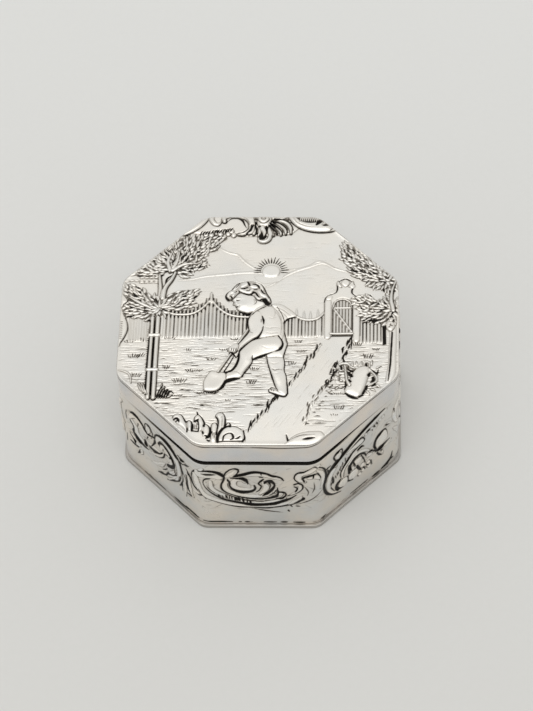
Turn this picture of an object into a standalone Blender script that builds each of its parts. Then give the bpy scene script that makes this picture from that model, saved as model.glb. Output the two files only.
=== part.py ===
"""A small octagonal silver box with a hinged lid, modelled at rest with the lid closed.

Every length is in metres. +Z is up, the front looks along -Y and the hinge is at the back, +Y.
The origin is the middle of the underside. The lid's pieces hang on an empty on the hinge's axis.
"""

import math

import bmesh
import bpy
from mathutils import Vector

MM = 0.001

# The whole box
ACROSS_FLATS = 45.0 * MM
HEIGHT = 24.6 * MM
LID_HEIGHT = 5.3 * MM
SEAM_GAP = 0.3 * MM
CORNER_RADIUS = 3.5 * MM

# Sheets that the silversmith cut and soldered
WALL_SHEET = 0.6 * MM
BAND_SHEET = 0.5 * MM
LID_SHEET = 0.5 * MM
BASE_SHEET = 0.8 * MM
BEZEL_SHEET = 0.5 * MM
SOLDER_GAP = 0.05 * MM
EDGE_ROUND = 0.12 * MM

# The base stands out past the wall, with tighter corners
BASE_OVERHANG = 0.4 * MM
BASE_CORNER_RADIUS = 2.5 * MM

# The bezel is the inner collar that finds the lid
BEZEL_RISE = 1.8 * MM
BEZEL_DEPTH = 3.0 * MM
BEZEL_CHAMFER = 0.2 * MM

# Hinge. The barrel's tubes belong to the case and the lid by turns, counted from the left
KNUCKLES = 5
CASE_KNUCKLES = ((0, "left"), (2, "middle"), (4, "right"))
LID_KNUCKLES = ((1, "left"), (3, "right"))
BARREL_LENGTH = 15.0 * MM
KNUCKLE_RADIUS = 1.1 * MM
KNUCKLE_SPACING = 0.1 * MM
PIN_RADIUS = 0.4 * MM
PIN_CLEARANCE = 0.05 * MM
PIN_HEAD_RISE = 0.12 * MM
BARREL_CLEARANCE = 0.1 * MM
BARREL_END_GAP = 0.3 * MM
AXIS_INSET = 0.8 * MM
GUTTER_SHEET = 0.5 * MM
OPENING_ANGLE = math.radians(105)
STOP_CLEARANCE = math.radians(3)

# Scrolls and fruit pressed out of the wall, rooted in its sheet
SCROLL_WIDTH = 1.0 * MM
CREST_WIDTH = 0.5 * MM
SCROLL_RISE = 0.3 * MM
SCROLL_ROOT = 0.25 * MM
SCROLL_END_SHARE = 0.6
FRUIT_CREST_SHARE = 0.55

# One overrun serves every cutter
CUT_OVERRUN = 2.0 * MM

# Counts and angles
SIDES = 8
ARC_STEPS = 6
BARREL_SIDES = 32
GUTTER_STEPS = 10
EDGE_STEPS = 2
HEAD_STEPS = 4
FRUIT_SIDES = 10
SHARP_ANGLE = math.radians(30)
ROUNDED_ANGLE = math.radians(50)

# Worked out from the sizes above
APOTHEM = ACROSS_FLATS / 2
SEAM_Z = HEIGHT - LID_HEIGHT
WALL_TOP = SEAM_Z - SEAM_GAP / 2
BAND_BOTTOM = SEAM_Z + SEAM_GAP / 2
PLATE_BOTTOM = HEIGHT - LID_SHEET
AXIS_Y = APOTHEM - AXIS_INSET
GUTTER_RADIUS = KNUCKLE_RADIUS + BARREL_CLEARANCE
GUTTER_LENGTH = BARREL_LENGTH + 2 * BARREL_END_GAP
PITCH = (BARREL_LENGTH + KNUCKLE_SPACING) / KNUCKLES
WALL_FOOT = BASE_SHEET + SOLDER_GAP
WALL_HEIGHT = WALL_TOP - WALL_FOOT
SIDE_LENGTH = ACROSS_FLATS * math.tan(math.pi / SIDES)
CORNER_REACH = CORNER_RADIUS * math.tan(math.pi / SIDES)

# Lines of the scrolls. A point is a share of the side's length from its left corner and a share of
# the wall's height. A fruit's third share is its radius, of the side's length
SHELL_SCROLL_SHARES = (
    (
        (0.02, 0.46), (0.11, 0.38), (0.21, 0.325), (0.35, 0.295), (0.48, 0.285), (0.64, 0.30),
        (0.75, 0.33), (0.86, 0.385), (0.965, 0.47),
    ),
    (
        (0.225, 0.78), (0.19, 0.72), (0.175, 0.64), (0.195, 0.57), (0.245, 0.505), (0.33, 0.455),
        (0.43, 0.44), (0.535, 0.45), (0.62, 0.485), (0.67, 0.54),
    ),
    (
        (0.475, 0.62), (0.45, 0.57), (0.39, 0.55), (0.325, 0.56), (0.28, 0.61), (0.265, 0.685),
        (0.29, 0.75), (0.355, 0.76), (0.395, 0.725),
    ),
    ((0.60, 0.565), (0.62, 0.635), (0.61, 0.695), (0.57, 0.735), (0.52, 0.725)),
    ((0.30, 0.83), (0.40, 0.87), (0.505, 0.875), (0.61, 0.83), (0.71, 0.76)),
    (
        (0.975, 0.94), (0.925, 0.915), (0.865, 0.87), (0.82, 0.815), (0.81, 0.755), (0.83, 0.70),
        (0.88, 0.68), (0.925, 0.705),
    ),
    ((0.05, 0.855), (0.09, 0.855), (0.155, 0.82)),
    ((0.88, 0.595), (0.855, 0.545), (0.81, 0.50), (0.76, 0.46)),
)
WAVE_SCROLL_SHARES = (
    (
        (0.425, 0.75), (0.445, 0.83), (0.49, 0.88), (0.56, 0.915), (0.63, 0.905), (0.69, 0.855),
        (0.74, 0.785), (0.78, 0.70), (0.795, 0.61), (0.79, 0.50), (0.77, 0.39), (0.75, 0.305),
    ),
    (
        (0.51, 0.70), (0.505, 0.755), (0.54, 0.795), (0.59, 0.78), (0.64, 0.73), (0.675, 0.665),
        (0.68, 0.60), (0.66, 0.545), (0.61, 0.50),
    ),
    ((0.105, 0.83), (0.14, 0.87), (0.19, 0.895), (0.235, 0.88), (0.28, 0.84), (0.31, 0.785)),
    ((0.535, 0.605), (0.495, 0.535), (0.40, 0.48), (0.30, 0.455)),
    ((0.12, 0.74), (0.16, 0.685), (0.175, 0.62), (0.16, 0.565), (0.18, 0.515)),
    ((0.70, 0.485), (0.65, 0.425), (0.57, 0.345), (0.46, 0.265)),
    ((0.96, 0.835), (0.93, 0.785), (0.905, 0.70), (0.91, 0.61), (0.95, 0.55)),
    ((0.87, 0.435), (0.875, 0.37), (0.87, 0.29)),
    ((0.28, 0.37), (0.21, 0.33), (0.15, 0.275)),
)
FRUIT_SCROLL_SHARES = (
    (
        (0.07, 0.90), (0.11, 0.83), (0.13, 0.74), (0.125, 0.65), (0.107, 0.555), (0.10, 0.47),
        (0.125, 0.38), (0.165, 0.31), (0.23, 0.255), (0.31, 0.23),
    ),
    ((0.235, 0.71), (0.31, 0.77), (0.41, 0.815), (0.515, 0.855), (0.635, 0.88), (0.78, 0.92)),
    ((0.56, 0.655), (0.48, 0.65), (0.41, 0.61), (0.36, 0.555), (0.325, 0.49)),
    ((0.70, 0.48), (0.70, 0.555), (0.735, 0.62), (0.795, 0.655), (0.85, 0.63), (0.865, 0.57), (0.865, 0.50)),
    ((0.72, 0.375), (0.77, 0.32), (0.82, 0.265)),
    ((0.98, 0.895), (0.94, 0.84), (0.92, 0.75), (0.945, 0.655), (0.985, 0.60)),
)
FRUIT_SHARES = ((0.50, 0.49, 0.045), (0.32, 0.36, 0.05), (0.445, 0.335, 0.058), (0.59, 0.325, 0.032))
SHELL = (SHELL_SCROLL_SHARES, ())
WAVE = (WAVE_SCROLL_SHARES, ())
FRUIT = (FRUIT_SCROLL_SHARES, FRUIT_SHARES)
SIDE_PATTERNS = (SHELL, FRUIT, WAVE, FRUIT, SHELL, WAVE, FRUIT, WAVE)

SILVER = ("silver", (0.86, 0.85, 0.83), 0.22)
CHASED_SILVER = ("chased_silver", (0.80, 0.79, 0.77), 0.32)


def clear_scene():
    for old in list(bpy.data.objects):
        bpy.data.objects.remove(old)


def metal(name, colour, roughness):
    """A Principled material, made once and shared by the pieces that wear it."""
    found = bpy.data.materials.get(name)
    if found:
        return found
    made = bpy.data.materials.new(name)
    made.use_nodes = True
    shader = made.node_tree.nodes["Principled BSDF"]
    shader.inputs["Base Color"].default_value = (*colour, 1.0)
    shader.inputs["Metallic"].default_value = 1.0
    shader.inputs["Roughness"].default_value = roughness
    return made


def add_object(name, shape, finish, parent=None):
    """Turns a bmesh into a named object. A piece with a parent is placed from the parent's own place."""
    bmesh.ops.recalc_face_normals(shape, faces=shape.faces)
    if parent:
        bmesh.ops.translate(shape, verts=shape.verts, vec=-parent.location)
    mesh = bpy.data.meshes.new(name)
    shape.to_mesh(mesh)
    shape.free()
    mesh.shade_smooth()
    mesh.set_sharp_from_angle(angle=SHARP_ANGLE)
    made = bpy.data.objects.new(name, mesh)
    bpy.context.scene.collection.objects.link(made)
    made.parent = parent
    if finish:
        mesh.materials.append(metal(*finish))
    return made


def add_cutter(name, shape):
    made = add_object(name, shape, None)
    made.hide_render = True
    made.display_type = "WIRE"
    return made


def combine(piece, tool, operation):
    modifier = piece.modifiers.new(tool.name, "BOOLEAN")
    modifier.operation = operation
    modifier.solver = "EXACT"
    modifier.object = tool


def cut(piece, cutter):
    combine(piece, cutter, "DIFFERENCE")


def round_edges(piece, width, steps):
    modifier = piece.modifiers.new("rounded edges", "BEVEL")
    modifier.width = width
    modifier.segments = steps
    modifier.limit_method = "ANGLE"
    modifier.angle_limit = ROUNDED_ANGLE


def octagon_outline(across_flats, corner_radius):
    """Points of a regular octagon with rounded corners, flats facing X and Y, anticlockwise."""
    half_turn_of_side = math.pi / SIDES
    centres_out = (across_flats / 2 - corner_radius) / math.cos(half_turn_of_side)
    points = []
    for corner in range(SIDES):
        towards = half_turn_of_side * (2 * corner + 1)
        centre = Vector((math.cos(towards), math.sin(towards))) * centres_out
        for step in range(ARC_STEPS + 1):
            angle = towards + half_turn_of_side * (2 * step / ARC_STEPS - 1)
            points.append(centre + Vector((math.cos(angle), math.sin(angle))) * corner_radius)
    return points


def prism(outline, low, high):
    """A solid of one outline between two heights."""
    shape = bmesh.new()
    bottom = [shape.verts.new((x, y, low)) for x, y in outline]
    top = [shape.verts.new((x, y, high)) for x, y in outline]
    shape.faces.new(bottom)
    shape.faces.new(top)
    bmesh.ops.bridge_loops(shape, edges=list(shape.edges))
    return shape


def join_rings(shape, rings, closed):
    """Faces from each ring of points to the next, and from the last to the first if closed."""
    followers = rings[1:] + rings[:1] if closed else rings[1:]
    for ring, following in zip(rings, followers):
        for i in range(len(ring)):
            j = (i + 1) % len(ring)
            shape.faces.new((ring[i], ring[j], following[j], following[i]))


def upright_ring(levels):
    """A solid round the box: its section's corners are outlines, each at its own height."""
    shape = bmesh.new()
    rings = [[shape.verts.new((x, y, z)) for x, y in outline] for outline, z in levels]
    join_rings(shape, rings, True)
    return shape


def along_x(section, start, end):
    """A solid of one (y, z) section between two places along X."""
    shape = bmesh.new()
    near = [shape.verts.new((start, y, z)) for y, z in section]
    far = [shape.verts.new((end, y, z)) for y, z in section]
    shape.faces.new(near)
    shape.faces.new(far)
    count = len(section)
    for i in range(count):
        j = (i + 1) % count
        shape.faces.new((near[i], near[j], far[j], far[i]))
    return shape


def circle_section(radius, sides=BARREL_SIDES):
    """(y, z) points of a circle round the hinge's axis."""
    turns = [2 * math.pi * i / sides for i in range(sides)]
    return [(AXIS_Y + radius * math.cos(a), SEAM_Z + radius * math.sin(a)) for a in turns]


def wall_loop(sheet, inset=0.0):
    """Outer and inner outlines of a bent sheet, this far inside the box's own outline."""
    across = ACROSS_FLATS - 2 * inset
    radius = CORNER_RADIUS - inset
    outer = octagon_outline(across, radius)
    inner = octagon_outline(across - 2 * sheet, radius - sheet)
    return outer, inner


def joint_wedge():
    """The bevels that let the lid swing back: a wedge from the hinge's axis out through the back."""
    half_angle = (OPENING_ANGLE + STOP_CLEARANCE) / 2
    reach = AXIS_INSET + BASE_OVERHANG + CUT_OVERRUN
    rise = reach * math.tan(half_angle)
    section = [(AXIS_Y, SEAM_Z), (AXIS_Y + reach, SEAM_Z - rise), (AXIS_Y + reach, SEAM_Z + rise)]
    half_length = APOTHEM + CUT_OVERRUN
    return add_cutter("joint_wedge", along_x(section, -half_length, half_length))


def barrel_channel():
    """Room for the barrel, cut out of the wall and the band."""
    half_length = GUTTER_LENGTH / 2
    return add_cutter("barrel_channel", along_x(circle_section(GUTTER_RADIUS), -half_length, half_length))


def make_base_plate():
    across = ACROSS_FLATS + 2 * BASE_OVERHANG
    shape = prism(octagon_outline(across, BASE_CORNER_RADIUS), 0.0, BASE_SHEET)
    round_edges(add_object("base_plate", shape, SILVER), EDGE_ROUND, EDGE_STEPS)


def on_wall(side, along, up, out):
    """A point this far along one of the wall's sides, up from its foot and out from its face."""
    facing = 2 * math.pi / SIDES * side - math.pi / 2
    flat = SIDE_LENGTH / 2 - CORNER_REACH
    straight = max(-flat, min(flat, along - SIDE_LENGTH / 2))
    bend = math.pi / SIDES * (along - SIDE_LENGTH / 2 - straight) / CORNER_REACH
    centre = Vector((math.cos(facing), math.sin(facing))) * (APOTHEM - CORNER_RADIUS)
    centre += Vector((-math.sin(facing), math.cos(facing))) * straight
    x, y = centre + Vector((math.cos(facing + bend), math.sin(facing + bend))) * (CORNER_RADIUS + out)
    return x, y, WALL_FOOT + up


def add_scroll(shape, side, line_shares):
    """A bar along a line on the wall. It has a narrow crest and is slimmer at its two ends."""
    root = [(width, -SCROLL_ROOT) for width in (SCROLL_WIDTH, -SCROLL_WIDTH)]
    crest = [(width, SCROLL_RISE) for width in (-CREST_WIDTH, CREST_WIDTH)]
    section = root + crest
    line = [Vector((along * SIDE_LENGTH, up * WALL_HEIGHT)) for along, up in line_shares]
    rings = []
    for i, point in enumerate(line):
        onward = line[min(i + 1, len(line) - 1)] - line[max(i - 1, 0)]
        sideways = Vector((-onward.y, onward.x)).normalized() / 2
        share = SCROLL_END_SHARE if i in (0, len(line) - 1) else 1
        rings.append([])
        for width, out in section:
            along, up = point + sideways * width * share
            rings[-1].append(shape.verts.new(on_wall(side, along, up, out)))
    join_rings(shape, rings, False)
    shape.faces.new(rings[0])
    shape.faces.new(rings[-1])


def add_fruit(shape, side, along_share, up_share, radius_share):
    """A round boss on the wall."""
    centre = Vector((along_share * SIDE_LENGTH, up_share * WALL_HEIGHT))
    radius = radius_share * SIDE_LENGTH
    rings = []
    for reach, out in ((radius, -SCROLL_ROOT), (radius * FRUIT_CREST_SHARE, SCROLL_RISE)):
        rings.append([])
        for i in range(FRUIT_SIDES):
            turn = 2 * math.pi * i / FRUIT_SIDES
            along, up = centre + Vector((math.cos(turn), math.sin(turn))) * reach
            rings[-1].append(shape.verts.new(on_wall(side, along, up, out)))
    join_rings(shape, rings, False)
    shape.faces.new(rings[0])
    shape.faces.new(rings[1])


def side_pattern(side, scrolls, fruits):
    """The scrolls and fruit of one side, to be joined to the wall."""
    shape = bmesh.new()
    for line_shares in scrolls:
        add_scroll(shape, side, line_shares)
    for fruit_shares in fruits:
        add_fruit(shape, side, *fruit_shares)
    return add_cutter(f"side_pattern_{side + 1}", shape)


def make_case_wall(cutters):
    outer, inner = wall_loop(WALL_SHEET)
    levels = ((outer, WALL_FOOT), (outer, WALL_TOP), (inner, WALL_TOP), (inner, WALL_FOOT))
    wall = add_object("case_wall", upright_ring(levels), CHASED_SILVER)
    for side, (scrolls, fruits) in enumerate(SIDE_PATTERNS):
        combine(wall, side_pattern(side, scrolls, fruits), "UNION")
    for cutter in cutters:
        cut(wall, cutter)


def make_bezel():
    """The collar inside the wall. It is open at the back, where the hinge's gutters lie."""
    outer, inner = wall_loop(BEZEL_SHEET, WALL_SHEET + SOLDER_GAP)
    tip_outer, _ = wall_loop(BEZEL_SHEET, WALL_SHEET + SOLDER_GAP + BEZEL_CHAMFER)
    bottom = WALL_TOP - BEZEL_DEPTH
    top = SEAM_Z + BEZEL_RISE
    levels = ((outer, bottom), (outer, top - BEZEL_CHAMFER), (tip_outer, top), (inner, top), (inner, bottom))
    bezel = add_object("bezel", upright_ring(levels), SILVER)
    half_gap = GUTTER_LENGTH / 2 + BARREL_END_GAP
    section = [
        (AXIS_Y - GUTTER_RADIUS - GUTTER_SHEET - CUT_OVERRUN, bottom - CUT_OVERRUN),
        (APOTHEM + CUT_OVERRUN, bottom - CUT_OVERRUN),
        (APOTHEM + CUT_OVERRUN, top + CUT_OVERRUN),
        (AXIS_Y - GUTTER_RADIUS - GUTTER_SHEET - CUT_OVERRUN, top + CUT_OVERRUN),
    ]
    cut(bezel, add_cutter("bezel_gap", along_x(section, -half_gap, half_gap)))


def gutter_section(side, sheet):
    """The trough that holds the barrel, from the seam round to the wall or band of this sheet.

    side is -1 for the case's, under the seam, and 1 for the lid's.
    """
    to_wall = AXIS_INSET - sheet - SOLDER_GAP
    from_seam = math.asin(SEAM_GAP / 2 / GUTTER_RADIUS)
    outer_radius = GUTTER_RADIUS + GUTTER_SHEET
    section = []
    for radius, steps in (
        (GUTTER_RADIUS, range(GUTTER_STEPS + 1)),
        (outer_radius, range(GUTTER_STEPS, -1, -1)),
    ):
        first = math.pi - from_seam * GUTTER_RADIUS / radius
        last = math.acos(to_wall / radius)
        for step in steps:
            angle = first + (last - first) * step / GUTTER_STEPS
            section.append((AXIS_Y + radius * math.cos(angle), SEAM_Z + side * radius * math.sin(angle)))
    return section


def make_gutter(name, side, sheet, parent=None):
    half_length = GUTTER_LENGTH / 2
    add_object(name, along_x(gutter_section(side, sheet), -half_length, half_length), SILVER, parent)


def make_knuckle(name, place, parent=None):
    """One tube of the barrel. place counts from the left end."""
    start = -BARREL_LENGTH / 2 + place * PITCH
    end = start + PITCH - KNUCKLE_SPACING
    outer = circle_section(KNUCKLE_RADIUS)
    inner = circle_section(PIN_RADIUS + PIN_CLEARANCE)
    shape = bmesh.new()
    rings = [
        [shape.verts.new((x, y, z)) for y, z in section]
        for section, x in ((outer, start), (outer, end), (inner, end), (inner, start))
    ]
    join_rings(shape, rings, True)
    add_object(name, shape, SILVER, parent)


def make_hinge_pin():
    """A wire with a low riveted dome on each end."""
    shape = bmesh.new()
    half_length = BARREL_LENGTH / 2
    turns = [math.pi / 2 * i / HEAD_STEPS for i in range(HEAD_STEPS)]
    stations = [(half_length + PIN_HEAD_RISE * math.sin(a), PIN_RADIUS * math.cos(a)) for a in turns]
    stations = [(-x, r) for x, r in reversed(stations)] + stations
    rings = [[shape.verts.new((x, y, z)) for y, z in circle_section(r)] for x, r in stations]
    join_rings(shape, rings, False)
    for ring, direction in ((rings[0], -1), (rings[-1], 1)):
        tip = shape.verts.new((direction * (half_length + PIN_HEAD_RISE), AXIS_Y, SEAM_Z))
        for i in range(BARREL_SIDES):
            shape.faces.new((ring[i], ring[(i + 1) % BARREL_SIDES], tip))
    add_object("hinge_pin", shape, SILVER)


def make_lid_plate(parent):
    shape = prism(octagon_outline(ACROSS_FLATS, CORNER_RADIUS), PLATE_BOTTOM, HEIGHT)
    round_edges(add_object("lid_plate", shape, CHASED_SILVER, parent), EDGE_ROUND, EDGE_STEPS)


def make_lid_band(cutters, parent):
    outer, inner = wall_loop(BAND_SHEET)
    top = PLATE_BOTTOM - SOLDER_GAP
    levels = ((outer, BAND_BOTTOM), (outer, top), (inner, top), (inner, BAND_BOTTOM))
    band = add_object("lid_band", upright_ring(levels), SILVER, parent)
    for cutter in cutters:
        cut(band, cutter)


def make_case():
    cutters = (joint_wedge(), barrel_channel())
    make_base_plate()
    make_case_wall(cutters)
    make_bezel()
    make_gutter("case_gutter", -1, WALL_SHEET)
    for place, name in CASE_KNUCKLES:
        make_knuckle("case_knuckle_" + name, place)
    make_hinge_pin()
    return cutters


def make_lid(cutters):
    hinge = bpy.data.objects.new("lid_hinge_axis", None)
    hinge.location = (0.0, AXIS_Y, SEAM_Z)
    bpy.context.scene.collection.objects.link(hinge)
    make_lid_plate(hinge)
    make_lid_band(cutters, hinge)
    make_gutter("lid_gutter", 1, BAND_SHEET, hinge)
    for place, name in LID_KNUCKLES:
        make_knuckle("lid_knuckle_" + name, place, hinge)


clear_scene()
make_lid(make_case())
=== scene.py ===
"""The looks of a small octagonal silver box: pressed and chased lid and wall, aged silver, plain studio.

The lid's picture and the wall's scrolls are drawn as relief on two sheets, in millimetres.
Each form is laid over the one behind it, with a dark chased line round its edge.
"""

import math

import bpy
import numpy as np
from mathutils import Matrix, Vector


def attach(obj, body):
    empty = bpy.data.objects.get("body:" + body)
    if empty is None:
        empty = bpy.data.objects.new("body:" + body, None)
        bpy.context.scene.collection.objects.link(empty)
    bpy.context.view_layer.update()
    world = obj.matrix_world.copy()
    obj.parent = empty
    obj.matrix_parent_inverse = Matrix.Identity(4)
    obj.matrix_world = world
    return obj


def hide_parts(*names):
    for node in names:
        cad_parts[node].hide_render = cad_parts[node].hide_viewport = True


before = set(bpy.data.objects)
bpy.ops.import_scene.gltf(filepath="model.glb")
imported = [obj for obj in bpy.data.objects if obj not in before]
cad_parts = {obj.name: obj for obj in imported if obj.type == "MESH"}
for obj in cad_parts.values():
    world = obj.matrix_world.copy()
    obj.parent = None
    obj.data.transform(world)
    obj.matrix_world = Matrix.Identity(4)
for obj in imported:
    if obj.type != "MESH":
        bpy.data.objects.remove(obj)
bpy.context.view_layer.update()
MM = 0.001

# The box, in millimetres
APOTHEM = 22.5
CORNER = 3.5
SIDE = 2 * APOTHEM * math.tan(math.pi / 8)
ARC = CORNER * math.tan(math.pi / 8)
SHEET = 0.6
WALL_FOOT = 0.86
WALL_HEAD = 19.15
HINGE_Y, HINGE_Z = 21.7, 19.3
HINGE_ROOM = 1.2
HINGE_HALF = 7.8
BEVEL = math.tan(math.radians(54))
PLATE_LOW = 24.1
GROUND = 24.2

# The way the shadows fall on the sheets: each form's groove is painted darker on this side, as painted shade
SHADOW_SIDE = np.array((0.5, -0.86))
rng = np.random.default_rng(11)


# Relief


def spline(points, closed=False, step=0.22):
    """A smooth line through the points."""
    p = np.array(points, float)
    if closed:
        p = np.vstack((p[-1:], p, p[:2]))
    elif len(p) < 3:
        return p
    else:
        p = np.vstack((2 * p[0] - p[1], p, 2 * p[-1] - p[-2]))
    line = []
    for a, b, c, d in zip(p, p[1:], p[2:], p[3:]):
        count = max(1, math.ceil(math.dist(b, c) / step))
        t = (np.arange(count) / count)[:, None]
        curve = (2 * a - 5 * b + 4 * c - d) * t**2 + (3 * b - a - 3 * c + d) * t**3
        line.append(0.5 * (2 * b + (c - a) * t + curve))
    line.append(p[-2:-1])
    return np.concatenate(line)


def round_outline(x, y, across, tall, count):
    """A round or oval outline of this many points. across and tall are half its width and height."""
    turns = np.linspace(0, 2 * math.pi, count + 1)[:-1]
    return [(x + across * math.cos(a), y + tall * math.sin(a)) for a in turns]


def inside_of(line, x, y):
    """Which of these places lie inside the closed line."""
    odd = np.zeros(x.shape, bool)
    for (ax, ay), (bx, by) in zip(line, line[1:]):
        if ay != by:
            odd ^= ((ay > y) != (by > y)) & (x < ax + (y - ay) * (bx - ax) / (by - ay))
    return odd


class Relief:
    """A chased sheet: how high the metal stands, and how dark the polish left its recesses, with painted
    shade.

    A form's rise is its own height, and its level is how far it lies over the ground.
    Its edge is the width, the depth and the darkness of the groove round it, and its shade its own darkness.
    """

    def __init__(self, left, right, low, high, pitch):
        self.left, self.low, self.pitch = left, low, pitch
        self.shape = (round((high - low) / pitch) + 1, round((right - left) / pitch) + 1)
        self.height = np.zeros(self.shape)
        self.dark = np.zeros(self.shape)
        self.shift = 0.0

    def window(self, points, margin):
        """The part of the sheet round these points, and its cells' places."""
        low = (points.min(0) - margin - (self.left, self.low)) / self.pitch
        high = (points.max(0) + margin - (self.left, self.low)) / self.pitch
        c0, r0 = np.maximum(low.astype(int), 0)
        c1, r1 = np.minimum(high.astype(int) + 2, (self.shape[1], self.shape[0]))
        if c1 <= c0 or r1 <= r0:
            return None
        x, y = np.meshgrid(self.left + self.pitch * np.arange(c0, c1),
            self.low + self.pitch * np.arange(r0, r1))
        return (slice(r0, r1), slice(c0, c1)), x, y

    def nearest(self, x, y, line):
        """Distance to the line, the share of its length there, and the way out from it."""
        best = np.full(x.shape, 1e9)
        share, ox, oy = np.zeros(x.shape), np.zeros(x.shape), np.zeros(x.shape)
        v = np.diff(line, axis=0)
        lengths = np.maximum(np.hypot(v[:, 0], v[:, 1]), 1e-6)
        starts = np.concatenate(((0,), np.cumsum(lengths)))
        for (ax, ay), (vx, vy), length, start in zip(line, v, lengths, starts):
            t = np.clip(((x - ax) * vx + (y - ay) * vy) / length**2, 0, 1)
            dx, dy = x - ax - t * vx, y - ay - t * vy
            d = dx * dx + dy * dy
            nearer = d < best
            best = np.where(nearer, d, best)
            share = np.where(nearer, start + t * length, share)
            ox, oy = np.where(nearer, dx, ox), np.where(nearer, dy, oy)
        best = np.sqrt(best)
        return best, share / starts[-1], ox / (best + 1e-9), oy / (best + 1e-9)

    def lay(self, place, inside, ox, oy, level, rise, shoulder, edge, shade):
        """Lays a raised form over what is there, with a groove round it, deeper on the shadow side."""
        h, dark = self.height[place], self.dark[place]
        cover = np.clip(inside / self.pitch + 0.5, 0, 1)
        t = np.clip(inside / shoulder, 0, 1)
        h += cover * (level + rise * np.sqrt(t * (2 - t)) - h)
        dark += cover * (shade - dark)
        width, deep, tone = edge
        # Painted shade: where the edge faces the shadow side, its groove is painted darker and cut wider
        shadow_facing = np.clip(0.58 + 0.42 * (ox * SHADOW_SIDE[0] + oy * SHADOW_SIDE[1]), 0, 1)
        ring = np.clip(1 + inside / (width * (0.45 + 0.55 * shadow_facing)), 0, 1) * (1 - cover)
        h -= deep * ring
        np.maximum(dark, tone * (0.5 + 0.5 * shadow_facing) * np.sqrt(ring), out=dark)

    def rib(self, points, widths, rise=0.12, level=0.0, edge=(0.2, 0.08, 0.85), shade=0.0):
        """A raised strip along a line. widths are its half widths from end to end."""
        line = spline(points) + (self.shift, 0)
        widths = np.atleast_1d(widths).astype(float)
        found = self.window(line, widths.max() + edge[0] + self.pitch)
        if not found:
            return
        place, x, y = found
        d, share, ox, oy = self.nearest(x, y, line)
        half = np.interp(share, np.linspace(0, 1, len(widths)), widths)
        self.lay(place, half - d, ox, oy, level, rise, np.maximum(half, 0.02), edge, shade)

    def form(self, points, rise=0.3, shoulder=0.8, level=0.0, edge=(0.25, 0.1, 0.9), shade=0.0, smooth=True):
        """A raised shape inside a closed outline."""
        line = spline(points, closed=True) if smooth else np.array([*points, points[0]], float)
        line = line + (self.shift, 0)
        found = self.window(line, edge[0] + self.pitch)
        if not found:
            return
        place, x, y = found
        d, _, ox, oy = self.nearest(x, y, line)
        self.lay(place, np.where(inside_of(line, x, y), d, -d), ox, oy, level, rise, shoulder, edge, shade)

    def groove(self, points, width=0.12, dark=0.8, depth=0.06, ends=(0.2, 0.2), smooth=True, pen=1.0):
        """A chased line with its half width, or half widths. A pen below 1 is a taller nib."""
        line = spline(points) if smooth else np.array(points, float)
        line = line + (self.shift, 0)
        if not isinstance(width, tuple):
            width = (ends[0] * width, width, width, ends[1] * width)
        widths = np.array(width)
        found = self.window(line, widths.max() / pen + self.pitch)
        if not found:
            return
        place, x, y = found
        d, share, _, _ = self.nearest(x, pen * y, line * (1, pen))
        half = np.interp(share, np.linspace(0, 1, len(widths)), widths)
        cut = np.clip(1 - (d / np.maximum(half, 0.02)) ** 2, 0, 1)
        self.height[place] -= depth * cut
        np.maximum(self.dark[place], dark * np.sqrt(cut), out=self.dark[place])

    def swell(self, centre, radii, rise, turn=0.0):
        """A soft rise, or a hollow where rise is negative, that leaves the lines as they are."""
        centre = np.array(centre, float) + (self.shift, 0)
        found = self.window(np.array([centre]), 2.2 * max(radii))
        if not found:
            return
        place, x, y = found
        c, s = math.cos(turn), math.sin(turn)
        u = ((x - centre[0]) * c + (y - centre[1]) * s) / radii[0]
        v = ((y - centre[1]) * c - (x - centre[0]) * s) / radii[1]
        self.height[place] += rise * np.exp(-(u * u + v * v))

    def leaf(self, root, tip, half, bend=0.0, rise=0.1, level=0.1, edge=(0.16, 0.08, 0.85), vein=0.0):
        """A pointed leaf from root to tip."""
        root, tip = np.array(root, float), np.array(tip, float)
        across = np.array((root[1] - tip[1], tip[0] - root[0]))
        middle = (root + tip) / 2 + bend * across
        self.rib((root, middle, tip), (0.35 * half, half, 0.75 * half, 0.02), rise, level, edge)
        if vein:
            self.groove((root, middle, 0.3 * middle + 0.7 * tip), 0.05, vein, 0.03)

    def sample(self, values, x, y):
        """The sheet's values at these places."""
        c = np.clip((x - self.left) / self.pitch, 0, self.shape[1] - 1.001)
        r = np.clip((y - self.low) / self.pitch, 0, self.shape[0] - 1.001)
        ci, ri = c.astype(int), r.astype(int)
        c, r = c - ci, r - ri
        low = values[ri, ci] * (1 - c) + values[ri, ci + 1] * c
        high = values[ri + 1, ci] * (1 - c) + values[ri + 1, ci + 1] * c
        return low * (1 - r) + high * r


def soften(values, radius):
    """The values blurred over this many cells."""
    reach = int(3 * radius)
    taps = np.exp(-0.5 * (np.arange(-reach, reach + 1) / radius) ** 2)
    taps /= taps.sum()
    for axis in (0, 1):
        pad = [(reach, reach) if a == axis else (0, 0) for a in (0, 1)]
        wide = np.pad(values, pad, mode="edge")
        size = values.shape[axis]
        values = sum(w * np.take(wide, range(i, i + size), axis) for i, w in enumerate(taps))
    return values


def tuft(sheet, x, y, blades=5, size=0.8, spread=0.25, lean=0.0, width=0.07, dark=0.8):
    """A tuft of grass, cut with a few short strokes."""
    for k in range(blades):
        out = (k - (blades - 1) / 2) * spread
        tall = size * rng.uniform(0.7, 1.1)
        foot = (x + out, y + rng.uniform(-0.08, 0.08))
        tip = (x + out * 1.6 + lean * tall, y + tall)
        middle = ((foot[0] + tip[0]) / 2 + rng.uniform(-0.06, 0.06), (foot[1] + tip[1]) / 2)
        sheet.groove((foot, middle, tip), width * rng.uniform(0.8, 1.3), dark, 0.05, (0.9, 0.3))


# The lid's picture. x runs to the right and y to the back, in millimetres from the lid's middle

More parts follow.
